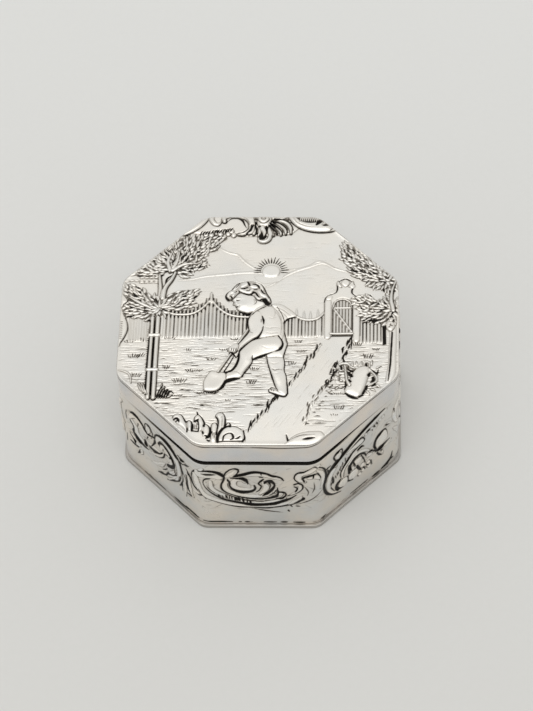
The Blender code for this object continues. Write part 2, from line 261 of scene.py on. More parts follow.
SKYLINES = (
    ((-7.2, 15.7), (-5.5, 14.6), (-4, 14.1), (-3.2, 13.2), (-2, 12), (0, 10.5)),
    ((-13.5, 9.1), (-11.5, 9.2), (-9, 9.8), (-6, 10.1), (-3, 10.4), (0, 10.3), (1.2, 9.3), (2.2, 8.4)),
    ((4.2, 10.9), (6, 11), (8, 11.6), (9, 12.3), (9.8, 12.4), (11, 11.8), (12.5, 10.9), (14.5, 10.2),
     (15.4, 9.6)),
    ((0.8, 7.4), (2, 8), (3, 8.8), (4.3, 9.8), (6, 10.7), (8, 11.4), (10, 12.1), (12, 11.3)),
)


def draw_sky(s):
    """Sky, two ranges of hills and a rising sun."""
    for line in SKYLINES:
        s.rib(line, (0.05, 0.16, 0.2, 0.16, 0.05), 0.05, 0.02, (0.16, 0.03, 0.4), 0)
    for _ in range(190):
        x = rng.uniform(-12, 13.5)
        y = rng.uniform(3.5, 16.5)
        long = rng.uniform(0.6, 2.2)
        line = ((x, y), (x + long / 2, y + rng.uniform(-0.08, 0.1)), (x + long, y))
        s.groove(line, 0.05, rng.uniform(0.05, 0.2), 0.02)
    s.form(round_outline(1.7, 10.6, 1.45, 1.3, 24), 0.1, 0.7, 0.02, (0.1, 0.05, 0.8))
    s.form(((-1, 9.6), (0.4, 9.75), (1.6, 9.55), (2.8, 9.7), (3.8, 9.9), (3, 8.6), (0.4, 8.3)), 0, 0.5, 0,
        (0.08, 0.02, 0.5))
    for a in np.radians(np.arange(-8, 190, 12.2)):
        near, far = 1.72, 2.7 + rng.uniform(-0.2, 0.4)
        radii = (near, (near + far) / 2, far)
        line = [(1.7 + r * math.cos(a), 10.7 + 0.95 * r * math.sin(a)) for r in radii]
        s.groove(line, (0.11, 0.09, 0.03), 1, 0.05)


PATH_LEFT = (
    (9.9, -4.2), (9.4, -5), (8.8, -6), (7.8, -7), (7.3, -8.5), (6.5, -9.5), (5.8, -10.5), (5.1, -11.8),
    (4, -13.2), (2.7, -14.3), (2, -15.3), (1.5, -16.5), (0.7, -17.5), (0, -18.5), (-0.9, -19.9),
)
PATH_RIGHT = (
    (15, -3), (14.3, -4.5), (13.7, -6.5), (12.8, -8), (12, -10), (11.2, -11.5), (10.5, -12.5), (9.8, -13.5),
    (9.2, -14.8), (8.5, -15.7), (8.2, -17), (7.6, -19),
)


def across(line, y):
    """Where a line that runs downwards crosses this height."""
    line = np.array(line)
    return np.interp(-y, -line[:, 1], line[:, 0])


def draw_meadow(s):
    """The meadow's long strokes and tufts, and the garden path that stays smooth between them."""
    y = -2.7
    while y > -20.5:
        x = -22.5 + rng.uniform(0, 1.5)
        left, right = across(PATH_LEFT, y) - 0.3, across(PATH_RIGHT, y) + 0.4
        while x < 22.5:
            long = rng.uniform(0.9, 5.2)
            end = min(x + long, left) if x < left else x + long
            clear = end < left + 0.01 or x > right
            faint = 1.0 if y > -16.5 else 0.45
            if clear and end - x > 0.35 and rng.random() < 0.84 * faint:
                tone = rng.choice((0.3, 0.5, 0.7, 0.95), p=(0.36, 0.32, 0.22, 0.1))
                wave = rng.uniform(-0.13, 0.13, 4)
                line = [(x + (end - x) * t, y + w) for t, w in zip((0, 0.33, 0.66, 1), wave)]
                s.groove(line, rng.uniform(0.045, 0.085), tone, 0.06, (0.3, 0.2))
            x = end + rng.uniform(0.15, 0.9)
            if left < x < right:
                x = right + rng.uniform(0, 0.4)
        y -= rng.uniform(0.26, 0.46)
    for x, y, blades, size, lean in TUFTS:
        tuft(s, x, y, blades, size, 0.26, lean, 0.075, 0.85)
    for x, y, long in DASHES:
        s.groove(((x, y), (x + long / 2, y + 0.07), (x + long, y - 0.02)), 0.1, 0.9, 0.05)
    for _ in range(90):
        x = rng.uniform(0.5, 13)
        y = rng.uniform(-20, -5)
        if across(PATH_LEFT, y) + 0.8 < x < across(PATH_RIGHT, y) - 1.2:
            long = rng.uniform(0.6, 2.2)
            s.groove(((x, y), (x + 0.55 * long, y + 0.84 * long)), 0.05, rng.uniform(0.1, 0.34), 0.02)
    for line, size, sign in ((PATH_LEFT, 0.95, 1), (PATH_RIGHT, 0.8, -1)):
        line = spline(line, step=0.5)
        for k, (x, y) in enumerate(line):
            if sign < 0 and y < -15.5 and k % 2:
                continue
            tall = size * rng.uniform(0.75, 1.15)
            x += rng.uniform(-0.15, 0.15)
            foot, tip = (x - 0.16, y - 0.42 * tall), (x + 0.3 * tall, y + 0.55 * tall)
            s.rib((foot, (x + 0.17, y), tip), (0.03, 0.14, 0.15, 0.02), 0.1, 0.03, (0.08, 0.05, 0.5))
            if rng.random() < 0.9:
                tall *= rng.uniform(1, 1.5)
                x += rng.uniform(-0.25, 0.25) if sign > 0 else rng.uniform(-0.5, 0.3)
                middle = (x + rng.uniform(-0.1, 0.1), y)
                tip = (x + 0.12 + rng.uniform(-0.1, 0.15), y + 0.6 * tall)
                widths = (0.04, rng.uniform(0.13, 0.21), rng.uniform(0.11, 0.18), 0.03)
                tone = 1.0 if sign > 0 or y > -12 else 0.6
                s.groove(((x - 0.12, y - 0.55 * tall), middle, tip), widths, tone, 0.06)


TUFTS = (
    (-20, -6.1, 6, 0.75, 0.1), (-19, -5.9, 5, 0.7, 0.2), (-12.4, -10.9, 7, 0.85, -0.1),
    (-10.2, -8.9, 8, 0.5, 0.2), (-7.5, -6.8, 5, 0.6, 0.1), (-11.2, -4.9, 3, 0.6, 0.2),
    (-14.7, -8.3, 4, 0.8, 0.15), (-0.5, -8.7, 5, 0.6, 0.1), (-1, -11.4, 5, 0.9, 0.2),
    (5.5, -7.9, 4, 0.8, 0.15), (17.6, -6.7, 5, 0.9, 0.1), (13.1, -16.4, 5, 0.7, 0.1),
    (6.4, -3.5, 4, 0.5, 0.2), (6.9, -5.4, 5, 0.45, 0.2), (-3.9, -2.9, 4, 0.4, 0), (-5.6, -4.9, 4, 0.4, 0.1),
    (-19.4, -9.8, 5, 0.8, 0.2), (-4.5, -14.6, 3, 0.35, 0.1), (-18.3, -2.9, 5, 0.9, 0.1),
    (-20.9, -3.2, 5, 0.6, 0.1), (12.6, -12.5, 8, 0.6, 0.1), (12.8, -13.6, 8, 0.4, 0),
    (-8, -13.3, 11, 0.55, 0.05), (15.9, -4.2, 5, 0.6, 0.1), (12.4, -17.6, 4, 0.4, 0),
    (-12.8, -13.6, 6, 0.35, 0.1), (18.9, -5.2, 4, 0.5, 0.1), (-14.3, -2.5, 6, 0.4, 0),
)
DASHES = (
    (8, -19.1, 0.5), (8.9, -19.05, 2.4), (10.1, -15, 0.8), (9.8, -15.7, 0.5), (9, -17, 0.5),
    (9.2, -17.7, 1.1), (-16.3, -14.95, 1), (-15, -15.05, 1.6), (-9, -15.5, 0.9), (-12.4, -12.5, 2.6),
    (-12.2, -7.3, 2.4), (-10.8, -7.8, 1.5), (-13.7, -14.1, 1.6), (10.8, -14, 0.5), (9.4, -16.4, 0.9),
    (-14.3, -9.2, 1.7),
)


def picket(s, x, low, top, half=0.19, level=0.04):
    """A pointed upright of the fence."""
    widths = (half,) * 6 + (0.85 * half, 0.02)
    s.rib(((x, low), (x, top)), widths, 0.1, level, (0.06, 0.05, 0.45))


SWAG_LEFT = ((-15.4, 2.9), (-14, 2.3), (-12.3, 2.15), (-11, 2.3), (-10, 2.8), (-9, 3.7), (-7.9, 5.1))
SWAG_RIGHT = ((-7.9, 5.1), (-7, 3.8), (-6, 2.8), (-5, 2.1), (-4, 1.75), (-2.8, 1.55), (-1.2, 1.5))
SWAG_GATE = ((5.7, 1.7), (6.2, 1.4), (7, 0.95), (8.3, 0.75), (9.5, 1.1), (10.3, 1.9), (10.7, 2.5))


def draw_fence(s):
    """The picket fence, swagged between its tall posts."""
    for x in np.arange(-20.9, -17.8, 0.43):
        picket(s, x, -2.7 + rng.uniform(-0.2, 0.1), 2.2, 0.14, 0)
    swag = np.array((*SWAG_LEFT, *SWAG_RIGHT[1:]))
    for k, x in enumerate(np.arange(-15.3, -1.2, 0.31)):
        rail = np.interp(x, swag[:, 0], swag[:, 1])
        if k % 2:
            s.groove(((x, -2), (x, rail - 0.3)), 0.07, rng.uniform(0.45, 1), 0.05, (0.6, 0.8))
            s.groove(((x, rail - 0.3), (x + 0.03, rail - rng.uniform(0.7, 1.1))), 0.12, 1, 0.05, (1, 0.3))
        else:
            foot, top = -2.1 + rng.uniform(-0.08, 0.08), rail + rng.uniform(0.9, 1.25)
            picket(s, x, foot, top, 0.19)
            for side in (-0.27, 0.27):
                s.groove(((x + side, rail + 0.15), (x + 0.75 * side, top)), (0.1, 0.07), 0.85, 0.05)
    for x in np.arange(4.5, 10.6, 0.54):
        rail = np.interp(x, [p[0] for p in SWAG_GATE], [p[1] for p in SWAG_GATE])
        picket(s, x, -2.35, rail - 0.1, 0.17)
        s.groove(((x + 0.27, -2.2), (x + 0.27, rail - 0.3)), 0.08, rng.uniform(0.7, 1), 0.05, (0.6, 1.2))
    for x, top in ((6.05, 3.1), (7.25, 2.6), (8.3, 2.5), (9.5, 2.9), (10.65, 3.3)):
        picket(s, x, -2.35, top, 0.2)
    for line in (SWAG_LEFT, SWAG_RIGHT, SWAG_GATE):
        s.rib(line, (0.17, 0.2, 0.2, 0.17), 0.1, 0.12, (0.12, 0.08, 0.95))
    picket(s, -7.9, 4.4, 6.6, 0.2, 0.1)
    for x in np.arange(16.5, 20, 0.58):
        picket(s, x, -3.7, 1, 0.2)
        s.groove(((x + 0.29, -3.5), (x + 0.29, 1)), 0.08, rng.uniform(0.7, 1), 0.05, (0.6, 1.2))
    s.form(((19.95, -0.4), (20.45, -0.5), (20.5, -4.1), (20.05, -4.2)), 0, 0.3, -0.1, (0.1, 0.05, 0.9), 0.95,
        False)
    s.rib(((4.5, -3.9), (6.8, -3.85), (9.3, -4)), (0.14, 0.17, 0.12), 0.08, 0.04, (0.14, 0.05, 0.8))


def draw_gate(s):
    """The garden gate: two posts with scrolled shoulders, a crest, and a boarded door under an arch."""
    crest = (
        (10.5, 4.3), (10.7, 5.1), (11.3, 5.7), (11.9, 5.9), (12.4, 6.2), (12.6, 6.9), (12.5, 7.8),
        (12.9, 8.4), (13.9, 8.9), (14.8, 8.4), (15.4, 7.5), (15, 6.7), (15, 6), (15.6, 5.4), (16.2, 4.8),
        (16.3, 4.2), (16.3, -2.4), (10.6, -2.4),
    )
    s.form(crest, 0.08, 0.4, 0.05, (0.16, 0.08, 1), 0, False)
    for points in (crest[:7], crest[6:15]):
        s.groove(points, (0.08, 0.12, 0.1, 0.14, 0.08), 1, 0.06)
    for x, foot in ((11.1, -2.5), (15.75, -3.2)):
        s.rib(((x, foot), (x, 4.3)), (0.5,), 0.08, 0.08, (0.14, 0.06, 0.7), 0)
    door = (
        (11.85, -2.3), (11.85, 3.4), (12.1, 4.2), (12.7, 4.8), (13.45, 5), (14.2, 4.8), (14.8, 4.2),
        (15.05, 3.4), (15.05, -2.3),
    )
    s.form(door, 0, 0.2, -0.08, (0.2, 0.08, 0.95), 0.5, False)
    for x in np.arange(12.2, 15, 0.5):
        top = 4.6 - 0.55 * abs(x - 13.45)
        s.rib(((x, -1.8), (x, top)), (0.15,), 0.08, 0, (0.1, 0.05, 0.6))
    s.rib(((11.9, 3.1), (15, 3.1)), (0.15,), 0.08, 0.08, (0.12, 0.06, 0.7))
    s.rib(((11.6, -1.95), (15.1, -1.95)), (0.17,), 0.08, 0.08, (0.14, 0.06, 0.8))
    s.rib(((12.15, 2.8), (14.95, -1.6)), (0.16,), 0.08, 0.1, (0.14, 0.06, 0.9))
    arch = (
        (11.95, 3.2), (12.2, 4.1), (12.75, 4.65), (13.45, 4.85), (14.15, 4.65), (14.7, 4.1), (14.95, 3.2),
    )
    s.rib(arch, (0.1,), 0.06, 0.05, (0.14, 0.05, 0.9))
    s.groove(((15.05, -2.2), (15, -3.6), (14.9, -5.2)), 0.14, 0.85, 0.06)
    for root, tip, half, bend in (
        ((13.2, 7.2), (12.7, 8.5), 0.3, 0.15), ((14.5, 7.3), (15.1, 8.4), 0.3, -0.15),
    ):
        s.leaf(root, tip, half, bend, 0.08, 0.14, (0.14, 0.06, 0.85))
    s.form(((13.5, 7.5), (13.2, 8.1), (13.9, 8.75), (14.6, 8.1), (14.3, 7.5), (13.9, 7.25)), 0.1, 0.4, 0.12,
        (0.13, 0.06, 0.9))
    s.form(((15.1, 7.9), (15.5, 7.4), (15.1, 6.9), (14.7, 7.3)), 0.08, 0.3, 0.1, (0.1, 0.05, 0.5))
    s.form(((10.7, 4.9), (11.2, 5.6), (11.8, 5.3), (11.6, 4.8), (11.1, 4.6)), 0.08, 0.3, 0.12,
        (0.12, 0.05, 0.5))


def foliage(s, outline, centre, count, size, half, level, spin=0.35):
    """A crown of leaves that point away from a fork, over a dark hollow."""
    s.form(outline, 0.04, 0.8, level - 0.06, (0.1, 0.05, 0.3), 0.5)
    ring = spline(outline, closed=True)
    tries = rng.uniform(ring.min(0), ring.max(0), (12 * count, 2))
    apart = (2.1 * half) ** 2
    places = []
    for x, y in tries[inside_of(ring, tries[:, 0], tries[:, 1])]:
        if len(places) < count and all((x - a) ** 2 + 1.6 * (y - b) ** 2 > apart for a, b in places):
            places.append((x, y))
    places.sort(key=lambda p: -math.dist(p, centre))
    for x, y in places:
        away = math.atan2(y - centre[1], x - centre[0]) + rng.normal(0, spin)
        long = size * rng.uniform(0.75, 1.2)
        root = (x - 0.4 * long * math.cos(away), y - 0.4 * long * math.sin(away))
        tip = (x + 0.6 * long * math.cos(away), y + 0.6 * long * math.sin(away))
        bright = half * rng.uniform(0.75, 1.15)
        s.leaf(root, tip, bright, rng.uniform(-0.12, 0.12), 0.135, level + rng.uniform(0, 0.06),
            (0.11, 0.09, 1))
        if rng.random() < 0.3:
            off = rng.choice((-1, 1)) * bright * np.array((-math.sin(away), math.cos(away)))
            line = (root + off, (x, y) + 1.1 * off, 0.5 * (tip + off) + 0.5 * np.array((x, y)))
            s.groove(line, (0.04, 0.15, 0.03), 1, 0.07)


def draw_trees(s):
    """The staked tree on the left, the tree on the right, and the leaves at the left rim."""
    upper = (
        (-20, 10.3), (-19.6, 12.2), (-17.5, 14.4), (-15.5, 16.4), (-14.2, 17.6), (-12, 17.7), (-9.5, 18.3),
        (-6.3, 18), (-5.8, 17.2), (-7.6, 16), (-7.2, 15), (-9.2, 14.2), (-9, 12.6), (-9.2, 11.4),
        (-11, 10.9), (-12.6, 9.7), (-14, 10.7), (-15, 11.2), (-16.5, 10.2), (-18, 9.9),
    )
    foliage(s, upper, (-14.6, 10.9), 280, 1.25, 0.27, 0.08)
    for line in (
        ((-14.9, 10.8), (-13.9, 12.6), (-13.4, 15.2)), ((-14.9, 11), (-15.3, 12.9), (-14.4, 15.4)),
        ((-14.5, 11), (-12.6, 12.2), (-10, 12.4)),
    ):
        s.rib(line, (0.3, 0.22, 0.04), 0.12, 0.14, (0.16, 0.08, 0.9))
    for y, a, b in ((9, -22.2, -16.8), (8.7, -19.8, -16.9), (10.2, -20.1, -17.2), (9.6, -19.8, -17.4)):
        for x in np.arange(a, b, 0.8):
            s.leaf((x, y), (x + 0.85, y + rng.uniform(-0.1, 0.1)), 0.17, 0.1, 0.1, 0.05, (0.13, 0.06, 0.85))
    for line in (
        ((-16.5, 3.4), (-16.3, 6.5), (-16.55, 9.9)),
        ((-15.95, 4.5), (-15.6, 7.4), (-14.6, 9.2), (-14, 10.6)),
    ):
        s.rib(line, (0.42, 0.36, 0.3, 0.2), 0.2, 0.1, (0.28, 0.1, 0.95))
    s.groove(((-15.6, 8.2), (-15.3, 9.4), (-14.5, 10.2)), 0.2, 0.9, 0.06)
    lower = (
        (-22.3, 7.4), (-21.2, 8.2), (-19.4, 7.2), (-18.4, 6.6), (-17.2, 5.7), (-16.4, 5.2), (-15.3, 5.4),
        (-14.5, 6.4), (-12.6, 7), (-10.1, 6.8), (-10.8, 5.4), (-11, 4.1), (-12, 3.3), (-14.8, 3),
        (-15.5, 2.2), (-16.5, 1.5), (-18, 1.2), (-19.7, 1.6), (-21.7, 2.2), (-22.2, 3.2), (-22.4, 5.3),
    )
    foliage(s, lower, (-16.2, 3.4), 220, 1.35, 0.28, 0.1, 0.25)
    s.rib(((-21.6, 5.9), (-19.6, 4.6), (-17.4, 3.5), (-16.1, 3.3)), (0.05, 0.2, 0.26, 0.34), 0.14, 0.16,
        (0.18, 0.08, 0.95))
    for a in np.radians((160, 128, 95, 62, 35, 8, 200, 225)):
        s.leaf((-16.1, 3.4), (-16.1 + 2.1 * math.cos(a), 3.4 + 1.8 * math.sin(a)), 0.24, 0.06, 0.14, 0.2,
            (0.14, 0.08, 0.9))
    for x, half in ((-17.32, 0.3), (-16.42, 0.34)):
        s.rib(((x, -13.9), (x - 0.02, -6), (x + 0.03, 1.6)), (half,), 0.2, 0.12, (0.24, 0.12, 1))
    s.groove(((-16.88, -13.6), (-16.86, -6), (-16.8, 1.2)), 0.1, 1, 0.1, (0.9, 0.5), False)
    s.groove(((-17.72, -13.2), (-17.7, -6), (-17.5, 0.3)), 0.16, 0.95, 0.08, (0.9, 0.2), False)
    for y in np.arange(-13, -0.5, 0.42):
        s.groove(((-17.7, y), (-18, y + 0.12)), 0.08, 0.7, 0.04)
    for y in (-1.85, -8.55):
        s.rib(((-17.6, y), (-16.1, y)), (0.3,), 0.14, 0.2, (0.12, 0.06, 0.6))
    for k in range(5):
        s.leaf((-16.0 + 0.38 * k, -13.9), (-15.1 + 0.42 * k, -11.1 - 0.55 * k), 0.16, -0.08, 0.12, 0.08,
            (0.15, 0.08, 0.95))
        s.groove(((-15.85 + 0.4 * k, -13.8), (-15.5 + 0.42 * k, -12.6),
            (-14.9 + 0.45 * k, -11.4 - 0.45 * k)), (0.14, 0.17, 0.04), 1, 0.06)
    for k in range(3):
        s.leaf((-18.05 + 0.32 * k, -12.9 - 0.2 * k), (-19.0 + 0.42 * k, -11.1), 0.16, 0.05, 0.12, 0.08,
            (0.15, 0.08, 0.95))
    for k, x in enumerate(np.arange(16.7, 20.7, 0.62)):
        s.leaf((x, 0.25), (x + 0.9, 0.15 + 0.1 * (k % 2)), 0.2, 0.1, 0.12, 0.1, (0.14, 0.07, 0.9))
    crown = (
        (14.4, 16.3), (13.2, 15.1), (13.2, 13), (14.2, 11.6), (14.7, 10), (16, 9.2), (16.8, 8.5), (18, 7.4),
        (19.3, 6.7), (20.7, 6.3), (22, 6.2), (22.2, 8.6), (20.6, 11.4), (18.6, 13.6), (17.2, 15),
        (15.8, 15.4),
    )
    foliage(s, crown, (20.6, 8.6), 190, 1.2, 0.26, 0.08, 0.3)
    skirt = (
        (15.9, 5.6), (15.4, 4.2), (16.1, 3), (16.6, 2), (16.5, 0.8), (18.5, 0.4), (20.5, -0.4), (22.1, -0.8),
        (22.3, 2), (22.3, 4.5), (21.4, 4.2), (20.6, 5), (19.2, 4.4), (18, 5.4), (17.2, 5.4),
    )
    foliage(s, skirt, (21.6, 2.6), 120, 1.35, 0.28, 0.1, 0.3)
    s.form(((17.6, 0.45), (18.6, 0.75), (19.5, 0.5), (18.6, 0.25)), 0, 0.2, -0.05, (0.1, 0.04, 0.8), 1)
    s.rib(((21.7, 2.4), (21.35, 4.5), (21.5, 6.4), (22.1, 8.3)), (0.3, 0.26, 0.2, 0.1), 0.15, 0.14,
        (0.25, 0.1, 0.95))
    s.form(((20.6, -0.6), (21.1, -2.2), (21, -5), (20.9, -8), (20.5, -11.5), (21.9, -10.2), (22.1, -6),
        (22.2, -2), (21.9, -0.4)), 0.12, 0.5, 0.06, (0.14, 0.06, 0.5))
    s.groove(((21.5, -1.9), (21.35, -5), (21.2, -8), (20.85, -11.3)), 0.17, 1, 0.1, (0.9, 0.5))
    s.form(((20.5, -0.7), (20.8, 0.1), (21.6, 0.1), (21.9, -0.8), (21.4, -1.6), (20.8, -1.4)), 0.14, 0.4,
        0.16, (0.16, 0.08, 0.8))
    for _ in range(9):
        a = rng.uniform(0, 6.28)
        s.groove(((21.2, -0.7), (21.2 + 0.5 * math.cos(a), -0.7 + 0.5 * math.sin(a))), 0.06, 0.7, 0.04)


def draw_rim_leaves(s):
    """The curled leaf, the little shield and the sprig at the left rim."""
    wave = (
        (-22.9, 6.8), (-22.2, 6), (-21.6, 5), (-22.1, 4.4), (-22.5, 3.6), (-22, 2.2), (-21.5, 1),
        (-21.3, -0.6), (-21.7, -2), (-22.3, -3.2), (-22.6, -3.9), (-24, -3.9), (-24, 6.8),
    )
    s.form(wave, 0.14, 0.8, 0.04, (0.26, 0.1, 0.95), 0)
    for y in np.arange(-2.4, 0.9, 0.36):
        s.groove(((-22.6, y), (-22, y + 0.05)), 0.1, 0.7, 0.04)
    s.form(((-22.2, 10.4), (-21.9, 11.4), (-20.9, 12), (-20.3, 11.3), (-20.5, 10.4), (-21.3, 10.1)), 0.22,
        0.9, 0.05, (0.18, 0.08, 0.75))
    s.rib(((-22.3, -8.5), (-21.2, -8.8), (-20.4, -9.5), (-20.1, -11)), (0.05, 0.14, 0.14, 0.05), 0.08, 0.04,
        (0.15, 0.05, 0.85))


CHILD_LINES = (
    (((3.2, -2.35), (3.75, -3.2), (3.95, -4.1), (3.5, -5), (2.8, -5.35)), (0.1, 0.14, 0.17, 0.3, 0.1), 1),
    (((2.3, -5.5), (0.9, -6.1), (-0.2, -6.55), (-0.85, -6.8), (-0.8, -6.1)), (0.08, 0.16, 0.2, 0.14, 0.06),
     1),
    (((-0.75, -7), (-1.3, -8.3), (-2.1, -9.5), (-2.5, -10.2)), (0.06, 0.09, 0.1, 0.07), 0.95),
    (((0.2, -2.75), (1.6, -2.5), (3.1, -2.35)), (0.09, 0.06, 0.07), 0.6),
    (((-2.7, -10.4), (-3.8, -10.6), (-4.9, -10.95), (-5.3, -11.3)), (0.08, 0.26, 0.34, 0.3), 1),
    (((-4, -9.3), (-3.2, -9.3), (-2.5, -9.9)), (0.04, 0.06, 0.04), 0.5),
    (((-3, -5.6), (-3.1, -6.8), (-3.55, -8.1), (-4.3, -8.95), (-5.6, -9.25)), (0.16, 0.24, 0.26, 0.24, 0.14),
     1),
    (((-5.3, -9), (-4.5, -7.5), (-3.9, -6.2)), (0.14, 0.1, 0.1), 1),
    (((1.4, -5.9), (1.6, -7.4), (2, -8.9), (2.5, -10.6), (2.95, -12), (3.4, -12.9)),
     (0.06, 0.08, 0.1, 0.15, 0.1, 0.05), 0.95),
    (((4.1, -6.3), (4.35, -7.6), (4.3, -8.9), (4.65, -10.2), (4.85, -12), (4.95, -13.3)),
     (0.06, 0.1, 0.08, 0.08, 0.13, 0.14), 0.95),
    (((1.9, -12.6), (1.95, -13), (2.7, -13.4), (3.5, -13.75), (4.5, -13.95), (4.95, -13.4)),
     (0.08, 0.1, 0.17, 0.14, 0.16, 0.12), 1),
    (((2, -12.5), (2.4, -12.2), (2.9, -12.35)), (0.05, 0.12, 0.05), 0.9),
    (((2.3, -12.6), (2.4, -12.95)), (0.07, 0.05), 0.8), (((2.7, -12.7), (2.75, -13.1)), (0.07, 0.05), 0.7),
    (((3, -12.5), (3.3, -13), (3.9, -13.3)), (0.04, 0.07, 0.03), 0.6),
    (((2.3, -8.7), (2.8, -9), (3.4, -8.85), (4, -8.95)), (0.05, 0.09, 0.06, 0.05), 0.8),
    (((1.8, -7.4), (2.6, -7.8), (3.4, -7.6)), (0.03, 0.06, 0.03), 0.4),
    (((2.5, -9.5), (3.1, -9.7), (3.7, -9.5)), (0.03, 0.05, 0.03), 0.35),
    (((2.9, 3.3), (3.5, 2.2), (3.95, 1.1), (4.12, 0), (4.15, -1.5), (4.5, -2.9), (4.68, -4), (4.35, -5.3),
     (4.1, -6.3)), (0.05, 0.07, 0.08, 0.08, 0.1, 0.08), 0.9),
    (((2.6, 2.4), (3.2, 1.5), (3.6, 0.4), (3.7, -1), (3.6, -2.2)), (0.03, 0.06, 0.06, 0.04), 0.5),
    (((2.4, 2.9), (2.6, 2), (2.4, 1.2)), (0.03, 0.05, 0.03), 0.4),
    (((1, -0.7), (1.8, -0.9), (2.6, -0.75), (3.4, -0.9)), (0.03, 0.06, 0.05, 0.03), 0.5),
    (((1.2, -1.7), (2.2, -1.85), (3.2, -1.7)), (0.03, 0.05, 0.03), 0.4),
    (((1.6, 1.2), (2.2, 1), (2.8, 1.3)), (0.03, 0.05, 0.03), 0.35),
    (((2.6, 3.3), (3.8, 2.7), (5.2, 1.5)), (0.04, 0.06, 0.04), 0.5),
    (((3, 2.7), (3.9, 2), (4.7, 1)), (0.04, 0.06, 0.04), 0.5),
    (((4.1, 0.3), (4.6, 0.9), (5.2, 1.15), (5.9, 1.35)), (0.08, 0.12, 0.08, 0.05), 0.9),
    (((0.6, -4.4), (1.8, -4.9), (2.8, -4.7)), (0.03, 0.05, 0.03), 0.3),
)


def draw_child(s):
    """The winged child who digs: far leg, trunk, wing, near leg, head and arm, each over the one before."""
    thin = (0.1, 0.07, 0.7)
    calf = (
        (1.3, -5.6), (1.55, -7.4), (2, -9), (2.5, -10.5), (3.1, -12.2), (2.8, -12.6), (2.1, -12.5),
        (1.9, -12.9), (2.7, -13.4), (3.9, -13.9), (4.7, -13.8), (4.9, -13.3), (4.8, -12), (4.75, -10.8),
        (4.6, -9.8), (4.25, -8.8), (4.35, -7.6), (4.1, -6.4), (4, -5.2),
    )
    s.form(calf, 0.2, 1.3, 0.04, thin)
    s.form(((3, -1.8), (4.1, -2.2), (4.4, -3.3), (4.65, -4), (4.4, -5.2), (4.15, -6.4), (3, -6.5),
        (1.4, -6.3), (1, -4.5)), 0.16, 1.6, 0.08, thin)
    trunk = (
        (-1, 2), (-0.2, 2.9), (0.8, 3.5), (1.7, 3.65), (2.5, 3.2), (3.1, 2.4), (3.6, 1.4), (3.95, 0.3),
        (4.05, -1), (4, -2.4), (3.4, -3.4), (2, -3.2), (0.4, -2.8), (-0.4, -1.6), (-0.9, 0.2),
    )
    s.form(trunk, 0.26, 1.8, 0.08, thin)
    wing = (
        (1.9, 3.75), (2.6, 4), (3.6, 3.8), (4.6, 3.1), (5.5, 2.3), (6, 1.7), (5.8, 1.3), (5.1, 1.1),
        (4.6, 0.8), (4.15, 0.25), (3.7, 0.7), (3.4, 1.6), (2.8, 2.7),
    )
    s.form(wing, 0.12, 0.9, 0.18, (0.12, 0.08, 0.8))
    thigh = (
        (0.4, -2.75), (1.8, -2.6), (3, -2.5), (3.7, -3.1), (3.95, -4), (3.5, -4.9), (2.4, -5.4), (1.2, -5.9),
        (0, -6.5), (-0.8, -6.75), (-1, -7.5), (-1.7, -8.5), (-2.2, -9.4), (-2.5, -10.15), (-4.8, -10.75),
        (-5.4, -10.4), (-5.2, -9.8), (-4.7, -9.3), (-4.1, -9.1), (-3.4, -8.2), (-3, -6.8), (-3.05, -5.4),
        (-2.2, -4.3), (-1, -3.2),
    )
    s.form(thigh, 0.2, 1.8, 0.16, (0.13, 0.1, 0.9))
    s.swell((1.6, -4), (1.6, 0.9), 0.06, -0.1)
    s.swell((1.8, 1.2), (1, 1.6), 0.05)
    s.swell((-1.9, -6.2), (0.7, 1.2), 0.04, 0.4)
    s.swell((3.4, -10.4), (0.6, 1.5), 0.04, 0.3)
    for points, widths, dark in CHILD_LINES:
        s.groove(points, widths, dark, 0.05)


HAIR_LINES = (
    (((-5, 4.8), (-5.35, 5.1), (-5.55, 5.7), (-5.2, 6.4), (-4.6, 6.9), (-4.1, 7.6), (-3.4, 8.25),
     (-2.2, 8.5), (-0.9, 8.4), (0.1, 7.95), (0.7, 7), (1.1, 6.1), (1.6, 5.3), (1.85, 4.5)),
     (0.1, 0.16, 0.15, 0.17, 0.14, 0.13, 0.15, 0.16, 0.13, 0.1)),
    (((-3.3, 8.2), (-3.5, 7.6), (-3.95, 7)), (0.1, 0.08, 0.04)),
    (((-2.1, 8.3), (-1.85, 7.85), (-1.7, 7.5)), (0.08, 0.18, 0.16)),
    (((-3.1, 6.95), (-2.5, 6.9), (-2, 7.15)), (0.07, 0.15, 0.1)),
    (((-2.2, 6.5), (-1.8, 6.45), (-1.6, 6.7)), (0.06, 0.08, 0.05)),
    (((-1.2, 7.75), (-0.65, 7.65), (-0.25, 7.3), (-0.1, 6.85)), (0.06, 0.14, 0.17, 0.08)),
    (((-0.95, 6.75), (-0.5, 6.75)), (0.1, 0.14)),
    (((-1.1, 6.15), (-0.65, 5.95), (-0.4, 5.5), (-0.05, 5.1)), (0.2, 0.14, 0.16, 0.06)),
    (((-3.5, 6.5), (-2.9, 6.1), (-2.2, 5.8), (-1.6, 5.65), (-1.1, 6)), (0.04, 0.08, 0.14, 0.18, 0.16)),
    (((0.2, 6.6), (0.5, 6), (0.9, 5.75)), (0.1, 0.13, 0.08)),
    (((-0.95, 5.4), (-0.55, 4.8), (-0.1, 4.5), (0.3, 4.7)), (0.05, 0.08, 0.1, 0.14)),
    (((-4.75, 5.4), (-4.5, 5.1)), (0.08, 0.16)), (((-4.15, 6.1), (-3.75, 6.35)), (0.04, 0.07)),
    (((-3.4, 5.9), (-3.35, 6.4)), (0.05, 0.07)), (((1, 5.7), (1.5, 4.9)), (0.04, 0.06)),
)


